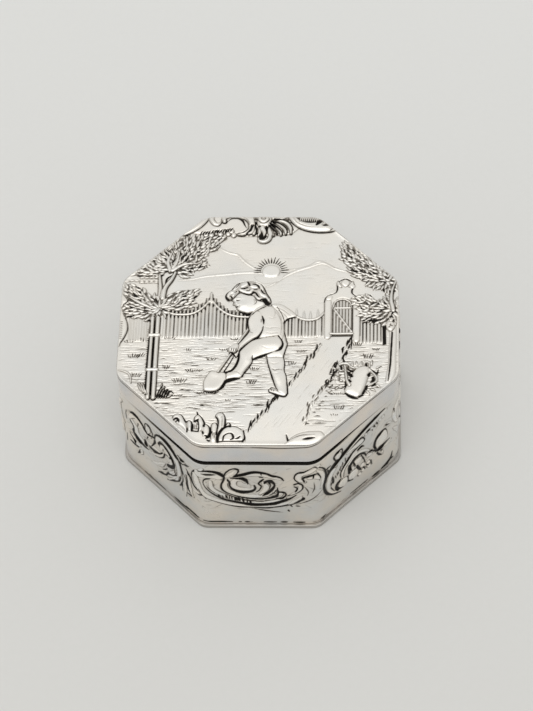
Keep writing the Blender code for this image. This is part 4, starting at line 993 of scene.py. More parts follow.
FRONT_INKED = (
    (((-0.5, 11.2), (0.05, 9.7), (0.7, 8.5)), (0.08, 0.1, 0.04)),
    (((-0.3, 16.85), (0.5, 17.1), (1.6, 17.15), (2.7, 16.8), (3.5, 16.1), (3.9, 15.2), (3.8, 14.6)),
     (0.07, 0.1, 0.14, 0.24, 0.16)),
    (((3.8, 15), (4.1, 16.4), (4.8, 17.5), (5.6, 17.95), (6.15, 17.75), (6.25, 17.1), (5.9, 16.4),
     (5.4, 15.8)), (0.1, 0.13, 0.1, 0.14, 0.08)),
    (((5.4, 15.6), (6.9, 16.2), (7.9, 16.7), (8.8, 16.95), (9.7, 16.8), (10.7, 16.4), (11.5, 15.8),
     (12.3, 15.5), (13, 15), (13.3, 14.2)), (0.14, 0.2, 0.18, 0.14, 0.14, 0.1)),
    (((9.7, 16.8), (9.9, 16.1)), (0.12, 0.05)), (((9.5, 15.3), (10, 15.2)), (0.08, 0.08)),
    (((4.9, 14.9), (6.3, 15), (7.1, 14.65), (7.5, 13.95), (7.6, 13.2)), (0.08, 0.12, 0.16, 0.28, 0.08)),
    (((4.4, 14.4), (4.75, 13.6), (4.7, 12.7), (5.2, 11.6), (6.3, 11), (7.25, 10.85), (8.2, 11.2),
     (8.75, 11.9), (8.6, 12.8)), (0.12, 0.14, 0.26, 0.3, 0.3, 0.26, 0.08)),
    (((3.8, 14.4), (3.35, 13), (3.35, 11.8), (3.97, 10.8), (5.1, 10), (6.3, 9.3), (7.6, 8.9), (9.1, 8.65),
     (10.4, 8.8), (11.6, 9.3), (12.2, 9.9), (12.35, 10.8), (12.3, 11.9)),
     (0.14, 0.16, 0.15, 0.14, 0.13, 0.13, 0.22, 0.08)),
    (((10.1, 14.6), (9.6, 13.95), (9.3, 13.2), (9.7, 12.5), (9.4, 11.4), (8.8, 10.7)),
     (0.12, 0.14, 0.12, 0.1, 0.04)),
    (((10.3, 13.7), (10.75, 14), (11.4, 13.9), (11.85, 12.9), (11.5, 11.8), (10.8, 10.7), (9.8, 9.8)),
     (0.18, 0.28, 0.16, 0.22, 0.18, 0.05)),
    (((11, 13.6), (11.2, 12.6), (10.9, 11.7)), (0.14, 0.06, 0.03)),
    (((12.1, 11.6), (11.7, 10.8), (10.9, 10.1)), (0.08, 0.08, 0.04)),
    (((12.5, 10.8), (13.3, 10.7), (13.6, 9.9), (13, 9.1), (11.9, 8.75)), (0.1, 0.12, 0.12, 0.05)),
    (((1.5, 14.8), (0.8, 14.5), (0.45, 13.9), (0.5, 12.7), (1.15, 11.3), (2.1, 9.9), (3.5, 8.6), (5.1, 7.85),
     (6.6, 7.4), (8.2, 7.1), (10.1, 7.15), (11.8, 7.5), (13.3, 8.2), (14.4, 8.95), (15.2, 9.8)),
     (0.16, 0.06, 0.1, 0.16, 0.14, 0.18, 0.2, 0.22, 0.26, 0.2, 0.06)),
    (((0.7, 8.95), (2.4, 7.7), (4.4, 6.75), (6, 6.25), (7.9, 6.2), (10.1, 5.95), (11.8, 6.2), (13.2, 6.6),
     (14.6, 7.2), (15.7, 8.2), (16.4, 8.8)), (0.05, 0.07, 0.1, 0.13, 0.13, 0.1, 0.12, 0.24)),
    (((14.2, 6.9), (14.5, 6.3)), (0.12, 0.08)), (((13.85, 5.2), (14, 4.9)), (0.14, 0.1)),
    (((18.5, 18.2), (18.1, 18.1), (17.5, 17.7), (16.6, 17), (15.6, 16.6), (15.1, 15.6), (15.1, 14.5),
     (15.7, 13.6)), (0.05, 0.06, 0.08, 0.12, 0.12, 0.06)),
    (((16.6, 14.1), (16.4, 14.9), (17.1, 15.5), (18.3, 15.8), (19.2, 15.7)), (0.12, 0.17, 0.17, 0.12, 0.06)),
    (((18.2, 15.7), (18, 14.6)), (0.14, 0.06)), (((19, 15.6), (19.4, 14.4), (19.3, 13.2)), (0.1, 0.1, 0.03)),
    (((14.9, 13.1), (15.7, 13.4), (16.3, 12.9), (16.3, 11.9), (15.8, 11.1), (15.1, 10.4), (13.8, 9.6)),
     (0.06, 0.12, 0.12, 0.1, 0.06)),
    (((14.9, 12.4), (15.45, 11.9), (15.1, 10.9)), (0.05, 0.14, 0.05)),
)
FRONT_FAINT = (
    (((2.2, 13.2), (2.3, 11.9), (3, 11), (4.3, 9.9), (5.7, 8.95), (7.25, 8.3), (9.4, 8), (11, 8.25),
     (12.6, 8.8), (13.8, 9.4)), 0.07),
    (((0.9, 13.8), (1.1, 12.2), (1.9, 10.8), (3, 9.6)), 0.07),
    (((15.1, 6.9), (16.6, 7.7), (18.5, 8.95), (20.1, 10.35)), 0.09),
    (((7.9, 5.8), (10.4, 5), (13, 4.5)), 0.1), (((15, 6.5), (15.8, 6.4)), 0.12),
    (((0.2, 16.3), (2.6, 16.2)), 0.2), (((16.6, 12.4), (17.2, 10.8), (17, 9.6)), 0.12),
    (((18.2, 13.4), (18.3, 11.6), (17.8, 10.2)), 0.12),
)
FRONT = (FRONT_RAISED, FRONT_INKED, FRONT_FAINT)

LEFT_FRONT_RAISED = (
    ("rib", ((2.2, 14.9), (2.9, 16), (3.6, 16.5), (4.5, 16.1), (5.2, 15.2), (6, 14.4), (7.2, 14.3)),
     (0.3, 0.5, 0.5, 0.46, 0.4, 0.2)),
    ("leaf", (6.7, 15.1), (6.9, 17.5), 0.62, 0),
    ("rib", ((8.9, 14.4), (9.1, 15.9), (9.9, 16.7), (10.9, 16.9), (12, 16.2), (12.8, 15.1), (13.4, 13.9),
     (13.7, 12.4), (13.8, 10.8), (13.5, 9.4)), (0.3, 0.5, 0.6, 0.6, 0.55, 0.5, 0.2)),
    ("rib", ((9.8, 13.6), (9.9, 14.4), (10.6, 14.7), (11.3, 14), (11.9, 13.2), (12.1, 12), (11.6, 11.2)),
     (0.3, 0.42, 0.46, 0.44, 0.2)),
    ("leaf", (9.6, 12.2), (5.8, 12.4), 0.55, 0.1),
    ("rib", ((10.1, 12.4), (9.5, 11.3), (8.4, 10.4), (7.2, 9.9)), (0.2, 0.42, 0.4, 0.16)),
    ("rib", ((2.8, 14.6), (3.6, 13.4), (3.7, 12.2), (4.3, 11.4), (5.2, 10.8), (6.4, 10.2)),
     (0.3, 0.5, 0.5, 0.44, 0.2)),
    ("leaf", (4.4, 9.4), (1.8, 10.4), 0.44, 0.1), ("leaf", (4.2, 8.4), (1.6, 8.5), 0.44, 0.1),
    ("leaf", (4.6, 7.4), (3, 5.6), 0.46, 0.12), ("leaf", (12.8, 10.2), (8.4, 5.4), 0.55, 0.1),
    ("leaf", (13.6, 9.9), (10.4, 5.4), 0.5, 0.08), ("leaf", (14.9, 11.6), (15, 5.2), 0.5, 0),
    ("leaf", (10.2, 9.8), (6.8, 6.8), 0.5, 0.1),
    ("rib", ((16.1, 13.6), (16.2, 11.2), (16.3, 8.8), (16.8, 7.2)), (0.2, 0.34, 0.36, 0.2)),
    ("rib", ((19.2, 17.6), (18.4, 16.2), (17.9, 14.6), (17.8, 12.8), (18.5, 11.4)),
     (0.3, 0.5, 0.5, 0.46, 0.3)),
    ("leaf", (17.2, 9.9), (19.4, 9.9), 0.44, -0.14), ("leaf", (14.2, 15.3), (15.6, 16), 0.34, 0.1),
)
LEFT_FRONT_INKED = (
    (((2.5, 16.6), (3.2, 17.15), (4, 17.15), (4.75, 16.75), (5.4, 16), (5.9, 15.2), (6.6, 14.75),
     (7.4, 14.85), (8.2, 15.2)), (0.1, 0.2, 0.17, 0.14, 0.14, 0.12, 0.18)),
    (((6, 15.2), (6, 16.75), (6.5, 17.5), (7.1, 17.5), (7.55, 16.8), (7.8, 15.6)),
     (0.05, 0.07, 0.1, 0.16, 0.12)),
    (((8.2, 15), (8.5, 16.3), (9.3, 17.2), (10.4, 17.6), (11.5, 17.4), (12.6, 16.6), (13.3, 15.7),
     (14.1, 14.6), (14.4, 13), (14.7, 11.45), (14.75, 10.2), (14.4, 8.8), (14.2, 7.5), (14.2, 6.1)),
     (0.14, 0.14, 0.17, 0.26, 0.28, 0.26, 0.24, 0.22, 0.18, 0.16, 0.05)),
    (((9.4, 13.95), (9.3, 14.9), (10.1, 15.5), (11, 15.2), (11.8, 14.3), (12.4, 13.2), (12.6, 11.9),
     (12.25, 11), (11.5, 10.4), (10.9, 10)), (0.1, 0.22, 0.18, 0.16, 0.16, 0.2, 0.3, 0.36, 0.24)),
    (((12.1, 13.6), (11.6, 13.2), (10.8, 13)), (0.16, 0.1, 0.05)),
    (((10, 12.7), (9.3, 11.9), (8.5, 11.45), (7.6, 11.05), (6.8, 11)), (0.06, 0.16, 0.28, 0.38, 0.24)),
    (((10.5, 12.9), (10.1, 11.6), (9.1, 10.5), (7.9, 9.6)), (0.16, 0.12, 0.08, 0.04)),
    (((5.7, 11.5), (5.9, 10.7)), (0.34, 0.28)),
    (((2.2, 14.1), (2.9, 13.3), (3, 12.2), (2.65, 11.6), (3, 10.8), (4.1, 10.2), (5.2, 9.6), (6.3, 9.6)),
     (0.12, 0.22, 0.18, 0.36, 0.32, 0.22, 0.06)),
    (((1.9, 9.9), (2.9, 8.8), (3.2, 8)), (0.2, 0.3, 0.1)),
    (((1.6, 7.55), (2.55, 7.4), (3.5, 7.5)), (0.08, 0.22, 0.16)),
    (((4, 6.75), (3.65, 6), (3.2, 5.35)), (0.22, 0.16, 0.05)),
    (((8.3, 14.3), (7.9, 13.2), (7.4, 12.1)), (0.28, 0.16, 0.08)),
    (((6.6, 13.95), (6.15, 12.7)), (0.12, 0.05)), (((10.7, 8.8), (10.2, 8), (9.4, 7.2)), (0.06, 0.1, 0.04)),
    (((13.2, 9.6), (12.25, 8.6), (11, 7.85), (10.4, 6.75), (9.4, 6), (8.2, 5.2)),
     (0.06, 0.1, 0.14, 0.18, 0.24, 0.06)),
    (((14.1, 9.9), (13.5, 8.2), (12.25, 7.1), (11.3, 6), (10.4, 5.2)), (0.08, 0.12, 0.18, 0.14, 0.05)),
    (((14.3, 8.5), (13.9, 7.5), (13.5, 6.9)), (0.2, 0.16, 0.05)),
    (((15.45, 12.2), (15.6, 10.8), (15.5, 9.6), (15.8, 8.2), (16.5, 7.4), (16.2, 6.8), (15.2, 6.6)),
     (0.1, 0.15, 0.17, 0.28, 0.16, 0.12, 0.05)),
    (((15.7, 14.3), (16.3, 13.3), (16.8, 12.2), (17.25, 11.1), (18.2, 10.5), (19.3, 10.5)),
     (0.1, 0.13, 0.2, 0.2, 0.16, 0.12)),
    (((18.5, 17), (17.8, 16.3), (17.2, 15.2), (16.85, 13.8), (16.9, 12.5), (17.3, 11.4)),
     (0.1, 0.14, 0.12, 0.1, 0.05)),
    (((17.3, 9.7), (18.2, 9.3), (19.3, 9.6)), (0.06, 0.18, 0.06)),
    (((13.8, 16.4), (14.6, 16.05), (15.4, 16.2)), (0.08, 0.2, 0.05)),
    (((15.1, 15), (15.8, 15.5), (16.5, 16)), (0.08, 0.2, 0.04)), (((14.1, 14.7), (14.9, 14.7)), (0.24, 0.1)),
    (((1.5, 16.3), (1.3, 15), (1.3, 13.6)), (0.05, 0.1, 0.08)), (((0.9, 8.8), (0.6, 6.4)), (0.08, 0.12)),
)
LEFT_FRONT_FAINT = (
    (((13.2, 13.8), (13.3, 12), (13, 10.4)), 0.09), (((4.4, 15.6), (4, 13.8)), 0.14),
    (((12.6, 11), (12.8, 9.6)), 0.12),
)
LEFT_FRONT = (LEFT_FRONT_RAISED, LEFT_FRONT_INKED, LEFT_FRONT_FAINT)

RIGHT_FRONT_RAISED = (
    ("rib", ((0.5, 16.6), (1.2, 15.4), (1.6, 13.8), (1.4, 12.2), (1, 10.8)), (0.2, 0.4, 0.4, 0.3, 0.1)),
    ("rib", ((4.2, 13.4), (3.4, 12.4), (2.9, 11), (2.7, 9.4), (3, 7.8), (3.7, 6.6), (4.8, 5.8)),
     (0.5, 0.5, 0.44, 0.4, 0.3, 0.2)),
    ("rib", ((4.4, 13.9), (6, 15), (8, 15.9), (10, 16.7), (12, 17.3), (14, 17.8), (15.6, 18)),
     (0.3, 0.4, 0.44, 0.46, 0.4, 0.3)),
    ("rib", ((7, 14.6), (8.6, 14.9), (10.1, 15), (10.2, 14.6), (8.6, 14.5)), (0.2, 0.4, 0.4, 0.3)),
    ("hatch", (3.3, 9.2), (6.6, 13.4), 12), ("beads", (11.2, 15.7), (15, 16.7), 7, 0.34),
    ("leaf", (5, 15.4), (5.1, 17.4), 0.7, 0),
    ("rib", ((5.9, 8.8), (6, 10.2), (6.7, 11.4), (7.9, 12.5), (9.2, 13), (10.3, 12.9)),
     (0.3, 0.4, 0.44, 0.44, 0.2)),
    ("rib", ((7.2, 11), (8.2, 12), (9.6, 12.1), (11, 11.2), (11.8, 10.2)), (0.2, 0.3, 0.34, 0.3, 0.2)),
    ("ball", (9.3, 9.8), 0.95), ("ball", (8, 9), 0.5), ("ball", (6, 7.1), 1.1), ("ball", (8.3, 7), 1.2),
    ("ball", (10.3, 7.6), 0.55), ("ball", (10.5, 6), 0.5), ("ball", (11.6, 7), 0.42),
    ("ball", (11.7, 5.9), 0.42), ("ball", (9.6, 5.6), 0.4), ("leaf", (11.4, 8.9), (13.6, 8), 0.5, 0.1),
    ("leaf", (12, 9.6), (13.9, 8.6), 0.4, 0.1),
    ("form", ((13.5, 9), (13.5, 11), (14, 12), (14.9, 12.5), (15.6, 12.3), (15.9, 11.4), (16, 10),
     (15, 9.2)), 0.3),
    ("leaf", (13.8, 8), (17, 8.3), 0.4, -0.1), ("leaf", (13.9, 7.7), (15, 5.7), 0.36, 0.1),
    ("leaf", (15.4, 13.6), (17, 13.2), 0.4, 0.1),
    ("rib", ((18.9, 17.6), (17.9, 16.4), (17.6, 14.6), (18, 12.6), (18.9, 11.4)),
     (0.3, 0.46, 0.5, 0.4, 0.2)),
    ("leaf", (17.4, 11), (18.6, 8.2), 0.44, 0.1),
)
RIGHT_FRONT_INKED = (
    (((-0.1, 18.2), (0.3, 17.9), (0.8, 17.4), (1.5, 16.6), (2.1, 15.2), (2.25, 13.6), (2.2, 12.2),
     (1.8, 10.8), (1.9, 9.1), (2.4, 7.7), (3.3, 6.45), (4.4, 5.5), (5.5, 4.9)),
     (0.06, 0.07, 0.14, 0.24, 0.32, 0.28, 0.24, 0.16, 0.1, 0.04)),
    (((2.25, 12.2), (3, 13.5), (4, 14.4), (5.2, 15.2), (6.6, 15.9), (8.5, 16.8), (10.4, 17.5), (12.6, 18.1),
     (14.1, 18.4), (15.5, 18.55)), (0.2, 0.34, 0.3, 0.22, 0.2, 0.18, 0.16, 0.05)),
    (((4.4, 15.4), (4.05, 16.6), (4.4, 17.2), (5.2, 17.55), (5.8, 17.4), (6, 16.7), (5.9, 16)),
     (0.1, 0.18, 0.22, 0.12, 0.12, 0.05)),
    (((2.5, 15), (3.3, 15.05)), (0.14, 0.08)), (((2.6, 14.5), (2.8, 13.9)), (0.1, 0.2)),
    (((6.6, 15.05), (8.5, 15.5), (10.1, 15.8), (10.7, 15.2), (10.8, 14.3), (9.4, 14), (8.3, 13.6),
     (7.7, 13.2), (6.9, 12.5), (6, 11.45), (5.4, 10.2), (5.5, 9.1)),
     (0.05, 0.1, 0.14, 0.12, 0.14, 0.16, 0.18, 0.14, 0.08)),
    (((9.1, 13.2), (10.2, 13.3), (10.8, 12.6)), (0.06, 0.12, 0.06)),
    (((6, 8.8), (5.95, 9.9), (6.6, 11.3), (7.6, 11.95)), (0.06, 0.06, 0.06, 0.03)),
    (((7.4, 8.5), (7.5, 9.9), (8, 10.8), (8.8, 11.3), (9.9, 11.3), (10.8, 10.5), (11.2, 9.4)),
     (0.32, 0.38, 0.36, 0.26, 0.17, 0.17, 0.12)),
    (((10.1, 10.7), (10.7, 8.95), (11, 7.55)), (0.08, 0.12, 0.1)), (((8.4, 10.2), (8.8, 8.8)), (0.12, 0.06)),
    (((9.2, 8.3), (9.6, 7.2), (10, 6.6)), (0.26, 0.22, 0.12)),
    (((7, 7.7), (7, 6.6), (7.4, 6), (8.2, 5.5)), (0.16, 0.16, 0.12, 0.06)),
    (((5.4, 8.5), (4.6, 7.9), (4.5, 6.9), (5.2, 6.1), (6, 5.7)), (0.14, 0.28, 0.3, 0.17, 0.06)),
    (((10.5, 6.8), (10.9, 5.8)), (0.12, 0.08)), (((11.3, 6.6), (11.6, 6.4)), (0.14, 0.1)),
    (((12.3, 6.7), (12.5, 5.4)), (0.14, 0.08)), (((9.2, 5.5), (9.5, 5.1)), (0.1, 0.06)),
    (((3.2, 8.6), (3.65, 7.5), (4, 6.7)), (0.12, 0.08, 0.03)),
    (((13.5, 8.8), (13.1, 10), (13.25, 11.3), (13.8, 12.2), (14.75, 12.7), (15.5, 12.7), (15.9, 11.9),
     (16.1, 10.4)), (0.12, 0.28, 0.26, 0.22, 0.12, 0.06, 0.04)),
    (((11.3, 9.6), (12.25, 9.8), (13, 9.1), (13.7, 8.3), (15.1, 8.5), (16.6, 8.8)),
     (0.06, 0.1, 0.18, 0.26, 0.15, 0.05)),
    (((13.7, 7.5), (14.1, 6.6), (14.75, 5.8)), (0.14, 0.15, 0.05)),
    (((13, 16.3), (13.3, 15.6)), (0.14, 0.08)), (((13.6, 16.5), (13.9, 15.8)), (0.14, 0.08)),
    (((11.3, 16.2), (12, 16.35)), (0.1, 0.12)), (((12.5, 15.9), (12.7, 15.2)), (0.1, 0.06)),
    (((17.5, 16.5), (17.45, 15.6)), (0.1, 0.06)),
    (((14.8, 1.6), (15.8, 1.9), (16.8, 2.6), (17.2, 4.2)), (0.18, 0.22, 0.26, 0.08)),
)
RIGHT_FRONT_FAINT = (
    (((14.3, 7.5), (15.1, 7.2)), 0.14), (((15.4, 13.8), (16.5, 13.3)), 0.15), (((3.6, 11.4), (3.9, 9)), 0.3),
)
RIGHT_FRONT = (RIGHT_FRONT_RAISED, RIGHT_FRONT_INKED, RIGHT_FRONT_FAINT)

# The sides' pieces, from the front one round to the right
SIDES = (FRONT, RIGHT_FRONT, LEFT_FRONT, RIGHT_FRONT, FRONT, LEFT_FRONT, RIGHT_FRONT, LEFT_FRONT)
BOLD_SIDES = (2, 3, 4, 5, 6)


def draw_side(s, left, motif, bold=False):
    """One side's scrolls. A bold side stands out more and has finer lines."""
    s.shift = left
    rise_by, nib, pen, deep = (1.7, 0.95, 0.9, 0.09) if bold else (1, 1.12, 0.58, 0.03)
    raised, inked, faint = motif
    for kind, *rest in raised:
        if kind == "form":
            points, rise = rest
            s.form(points, 0.6 * rise_by * rise, 0.8, 0.02, (0.2, deep, 0.6))
        elif kind == "rib":
            points, widths = rest
            s.rib(points, widths, 0.16 * rise_by, 0.02, (0.24, deep, 0.7))
        elif kind == "leaf":
            root, tip, half, bend = rest
            s.leaf(root, tip, half, bend, 0.16 * rise_by, 0.03, (0.2, deep, 0.7), 0.5)
        elif kind == "ball":
            (x, y), r = rest
            s.form(round_outline(x, y, r, r, 12), 0.24 * rise_by, r, 0.03, (0.22, deep, 0.95))
        elif kind == "beads":
            (x0, y0), (x1, y1), count, r = rest
            for t in np.linspace(0, 1, count):
                bead = round_outline(x0 + t * (x1 - x0), y0 + t * (y1 - y0), r, r, 8)
                s.form(bead, 0.12, r, 0.03, (0.16, 0.03, 0.9))
        elif kind == "hatch":
            (x0, y0), (x1, y1), count = rest
            for t in np.linspace(0, 1, count):
                x = x0 + t * (x1 - x0) + rng.uniform(-0.2, 0.2)
                y = y0 + t * (y1 - y0) + rng.uniform(-0.2, 0.2)
                s.groove(((x, y + 0.5), (x + 0.15, y - 0.5)), 0.11, rng.uniform(0.7, 1), 0.02)
    for points, widths in inked:
        s.groove(np.subtract(points, (0, 0.07)), tuple(nib * w for w in widths), 1, deep, pen=pen)
    for points, width in faint:
        s.groove(points, 1.1 * width, 0.7, 0.02, pen=pen)
    s.shift = 0.0


# Stretches of the soldered joint that have gone dark, as start, end, height and half width
SOLDER = (
    ((0, 4.8, 1.5, 0.16), (5.9, 6.3, 1.5, 0.12), (6.9, 7.6, 1.5, 0.14), (10, 12, 1.5, 0.12),
     (12.8, 13.7, 1.5, 0.2), (14.8, 16.6, 1.45, 0.16)),
    ((0.9, 2, 1.6, 0.14), (7.5, 11.5, 1.7, 0.12), (12.6, 14.1, 1.4, 0.26), (14.8, 16.2, 1.5, 0.22),
     (16.2, 17.4, 2.2, 0.2)),
    ((4.5, 9.5, 1, 0.16), (11.8, 15, 1.3, 0.2), (14.6, 17.6, 1.6, 0.26)),
)
SOLDER_OF_SIDES = (0, 1, 0, 1, 2, 1, 0, 2)


def draw_wall(s):
    """All eight sides, and the soldered joint at the base."""
    # Ground painted darker than the raised forms, which clear it: part tarnish, part painted shade
    s.dark += 0.11
    for k in range(-1, 9):
        left = k * SIDE
        for _ in range(150):
            x, y = left + rng.uniform(0, SIDE), rng.uniform(5.5, 18.3)
            turn = rng.uniform(-0.4, 0.4) + 0.9 * math.sin(0.6 * (x - left))
            long = rng.uniform(0.5, 2.4)
            s.groove(((x, y), (x + long * math.cos(turn), y + long * math.sin(turn))), 0.07,
                rng.uniform(0.1, 0.5), 0.04)
        for _ in range(16):
            place = (left + rng.uniform(0, SIDE), rng.uniform(2.5, 17))
            s.swell(place, (rng.uniform(0.8, 2.2), rng.uniform(0.5, 1.3)), rng.uniform(-0.05, 0.05))
        motif = SIDES[k % 8]
        draw_side(s, left + (0.2 if motif is FRONT else 0), motif, k % 8 in BOLD_SIDES)
        for start, end, height, half in SOLDER[SOLDER_OF_SIDES[k % 8]]:
            middle = ((start + end) / 2 + left, height + rng.uniform(-0.06, 0.06))
            s.groove(((start + left, height), middle, (end + left, height)), 1.3 * half, 1, 0.04, (0.5, 0.6))
    for _ in range(90):
        x = rng.uniform(s.left, -s.left + 8 * SIDE)
        y = rng.uniform(1, 1.6)
        long = rng.uniform(0.3, 2.4)
        line = ((x, y), (x + long / 2, y + rng.uniform(-0.1, 0.1)), (x + long, y))
        s.groove(line, rng.uniform(0.06, 0.14), rng.uniform(0.2, 0.6), 0.02)


# Geometry of the two chased pieces, in millimetres

# How the drawn picture is stretched, sheared and moved to lie square on the plate
PICTURE_ACROSS, PICTURE_ALONG, PICTURE_SHEAR, PICTURE_SHIFT = 1.0047, 0.9948, -0.0176, -0.57
# How the drawn scrolls are stretched and moved up the wall
SCROLLS_STRETCH, SCROLLS_SHIFT = 1.012, 0.13
# The lid's rolled edge: where the drawn top ends, how far in the roll is felt, and how high it stands
TOP_INSET, ROLL_REACH, ROLL_RISE = 0.14, 0.9, 0.1
# The lid's inside starts this far in, and its relief is full as far in again
INSIDE_INSET = 1.2
# The wall's rounded head, and the height from which its rows follow its top edge
HEAD_REACH, HEAD_TUCK, HEAD_START = 0.35, 0.1, 14
# The wall's inside is plain above this height, over which its relief fades
INSIDE_TOP, INSIDE_FADE = 15.6, 1.5
# The seam under the lid: its gap in front, how far the wall rises behind it, and where along y
SEAM_GAP, SEAM_RISE, SEAM_START, SEAM_LENGTH = 0.36, 0.58, -21, 12
# How far the wall's head drops again towards the hinge, and where along y
BACK_DROP, BACK_START, BACK_LENGTH = 0.22, 8, 8
# The bake's layout leaves a margin round the image
MARGIN, SPAN = 0.004, 0.992


def reach(angle, inset=0.0):
    """Distance from the middle to the octagon's edge, with its rounded corners, in this direction."""
    apothem, corner = APOTHEM - inset, CORNER - inset
    part = math.pi / 4
    turn = np.abs((angle + part / 2) % part - part / 2)
    flat = apothem / np.cos(turn)
    centre = (apothem - corner) / math.cos(part / 2)
    off = part / 2 - turn
    bend = centre * np.cos(off) + np.sqrt(np.maximum(corner**2 - (centre * np.sin(off)) ** 2, 0))
    return np.where(flat * np.sin(turn) > apothem * math.tan(part / 2) - corner * math.tan(part / 2), bend,
        flat)


def disc_grid(count, inset):
    """A square grid of points spread over the octagon, row by row."""
    side = np.linspace(-1, 1, count + 1)
    u, v = np.meshgrid(side, side)
    out = np.maximum(np.abs(u), np.abs(v))
    angle = np.arctan2(v, u)
    r = out * reach(angle, inset)
    return np.stack((r * np.cos(angle), r * np.sin(angle)), -1)


def rim_of(count):
    """Places in a square grid's rows, once round its edge, anticlockwise."""
    last = count * (count + 1)
    bottom = np.arange(count)
    right = count + (count + 1) * np.arange(count)
    return np.concatenate((bottom, right, last + count - bottom, last - (count + 1) * np.arange(count)))


def quads(rows, columns, start=0, flip=False):
    """Faces of a grid of rows by columns of cells."""
    a = start + (np.arange(rows)[:, None] * (columns + 1) + np.arange(columns)[None]).ravel()
    faces = np.stack((a, a + 1, a + columns + 2, a + columns + 1), 1)
    return faces[:, ::-1] if flip else faces


def ring_quads(low, high, flip=False):
    """Faces between two closed rings of as many points."""
    faces = np.stack((low, np.roll(low, -1), np.roll(high, -1), high), 1)
    return faces[:, ::-1] if flip else faces


def fan_faces(coarse, fine):
    """Five-sided faces between a ring of points and one with twice as many."""
    step = np.arange(len(coarse))
    ahead = fine[(2 * step + 2) % len(fine)]
    return np.stack((coarse, np.roll(coarse, -1), ahead, fine[2 * step + 1], fine[2 * step]), 1)


def make_mesh(name, places, faces, fans, patina_and_shade, uv, material):
    """A mesh of quads, and of five-sided faces where the grid's cells double in size."""
    mesh = bpy.data.meshes.new(name)
    corners = np.concatenate([faces.ravel(), fans.ravel()]).astype(np.int32)
    starts = np.concatenate((np.arange(len(faces)) * 4,
        len(faces) * 4 + np.arange(len(fans)) * 5)).astype(np.int32)
    mesh.vertices.add(len(places))
    mesh.vertices.foreach_set("co", (np.asarray(places) * MM).astype(np.float32).ravel())
    mesh.loops.add(len(corners))
    mesh.loops.foreach_set("vertex_index", corners)
    mesh.polygons.add(len(starts))
    mesh.polygons.foreach_set("loop_start", starts)
    mesh.polygons.foreach_set("use_smooth", np.ones(len(starts), bool))
    mesh.update(calc_edges=True)
    # The mesh's dark: patina in the recesses, and painted shade
    mesh.attributes.new("patina_and_shade", "FLOAT", "POINT").data.foreach_set("value", np.asarray(patina_and_shade, np.float32))
    layer = mesh.uv_layers.new(name="OFBake")
    layer.data.foreach_set("uv", uv(corners).astype(np.float32).ravel())
    mesh.materials.append(material)
    made = bpy.data.objects.new(name, mesh)
    bpy.context.scene.collection.objects.link(made)
    return made


def lid_surface(s, x, y):
    """How high the lid's metal stands here, and how dark it is, with the drawing set square to the plate."""
    u, v = PICTURE_ACROSS * x, PICTURE_ALONG * y + PICTURE_SHEAR * x + PICTURE_SHIFT
    return s.sample(s.height, u, v), s.sample(s.dark, u, v)


def make_lid(s, count, material):
    """The lid's plate: relief above, rolled edge, and the same relief in reverse below."""
    top = disc_grid(count, TOP_INSET).reshape(-1, 2)
    h, dark = lid_surface(s, top[:, 0], top[:, 1])
    from_edge = reach(np.arctan2(top[:, 1], top[:, 0])) - np.hypot(top[:, 0], top[:, 1])
    rim = np.clip(1 - from_edge / ROLL_REACH, 0, 1) ** 2
    z = GROUND + h * (1 - rim) + ROLL_RISE * rim
    places = [np.column_stack((top, z))]
    tones = [dark * (1 - 0.7 * rim)]
    edge = rim_of(count)
    angle = np.arctan2(top[edge, 1], top[edge, 0])
    faces = [quads(count, count)]
    before, total = edge, len(top)
    edge_z = z[edge]
    ground, under = np.full_like(edge_z, GROUND), np.full_like(edge_z, PLATE_LOW)
    # Each ring of the rolled edge: how far in it lies, its height and its darkness, under the edge part
    # joint and part painted shade
    rolled = (
        (0.05, edge_z - 0.04, 0.0), (0.0, edge_z - 0.14, 0.05), (0.0, ground, 0.3), (0.1, under, 1.0),
        (0.55, under, 0.5),
    )
    for inset, height, tone in rolled:
        r = reach(angle, inset)
        places.append(np.column_stack((r * np.cos(angle), r * np.sin(angle), height)))
        tones.append(np.full(len(angle), tone))
        ring = total + np.arange(len(angle))
        faces.append(ring_quads(ring, before))
        before, total = ring, total + len(angle)
    half = count // 2
    below = disc_grid(half, INSIDE_INSET).reshape(-1, 2)
    h, dark = lid_surface(s, below[:, 0], below[:, 1])
    from_edge = reach(np.arctan2(below[:, 1], below[:, 0])) - np.hypot(below[:, 0], below[:, 1])
    fade = np.clip((from_edge - INSIDE_INSET) / INSIDE_INSET, 0, 1)
    z = PLATE_LOW + fade * (GROUND - PLATE_LOW - 0.4 + 0.8 * h)
    places.append(np.column_stack((below, z)))
    tones.append(0.25 * dark)
    faces.append(quads(half, half, total, True))
    inner = total + rim_of(half)
    fans = fan_faces(inner, before)
    places, tones = np.concatenate(places), np.concatenate(tones)

    def uv(corners):
        """The bake's layout: the top, the rolled edge in rows over it, and the inside beside it."""
        out = np.empty((len(corners), 2))
        x, y = places[corners, 0] / (2 * APOTHEM) + 0.5, places[corners, 1] / (2 * APOTHEM) + 0.5
        around, rows = 4 * count, len(rolled)
        edge_start = 4 * count * count
        edge_end = edge_start + 4 * rows * around
        out[:edge_start] = np.stack((MARGIN + 0.72 * x[:edge_start], MARGIN + 0.72 * y[:edge_start]), 1)
        at = np.arange(around)
        ring = np.tile(np.stack((at, at + 1, at + 1, at), 1).ravel(), rows) / around
        level = np.repeat(np.arange(rows), 4 * around) + np.tile((1, 1, 0, 0), rows * around)
        out[edge_start:edge_end] = np.stack((MARGIN + SPAN * ring, 0.74 + 0.045 * level), 1)
        out[edge_end:] = np.stack((0.74 + 0.255 * x[edge_end:], MARGIN + 0.255 * y[edge_end:]), 1)
        return out

    return make_mesh("chased_lid_plate", places, np.concatenate(faces), fans, tones, uv, material)


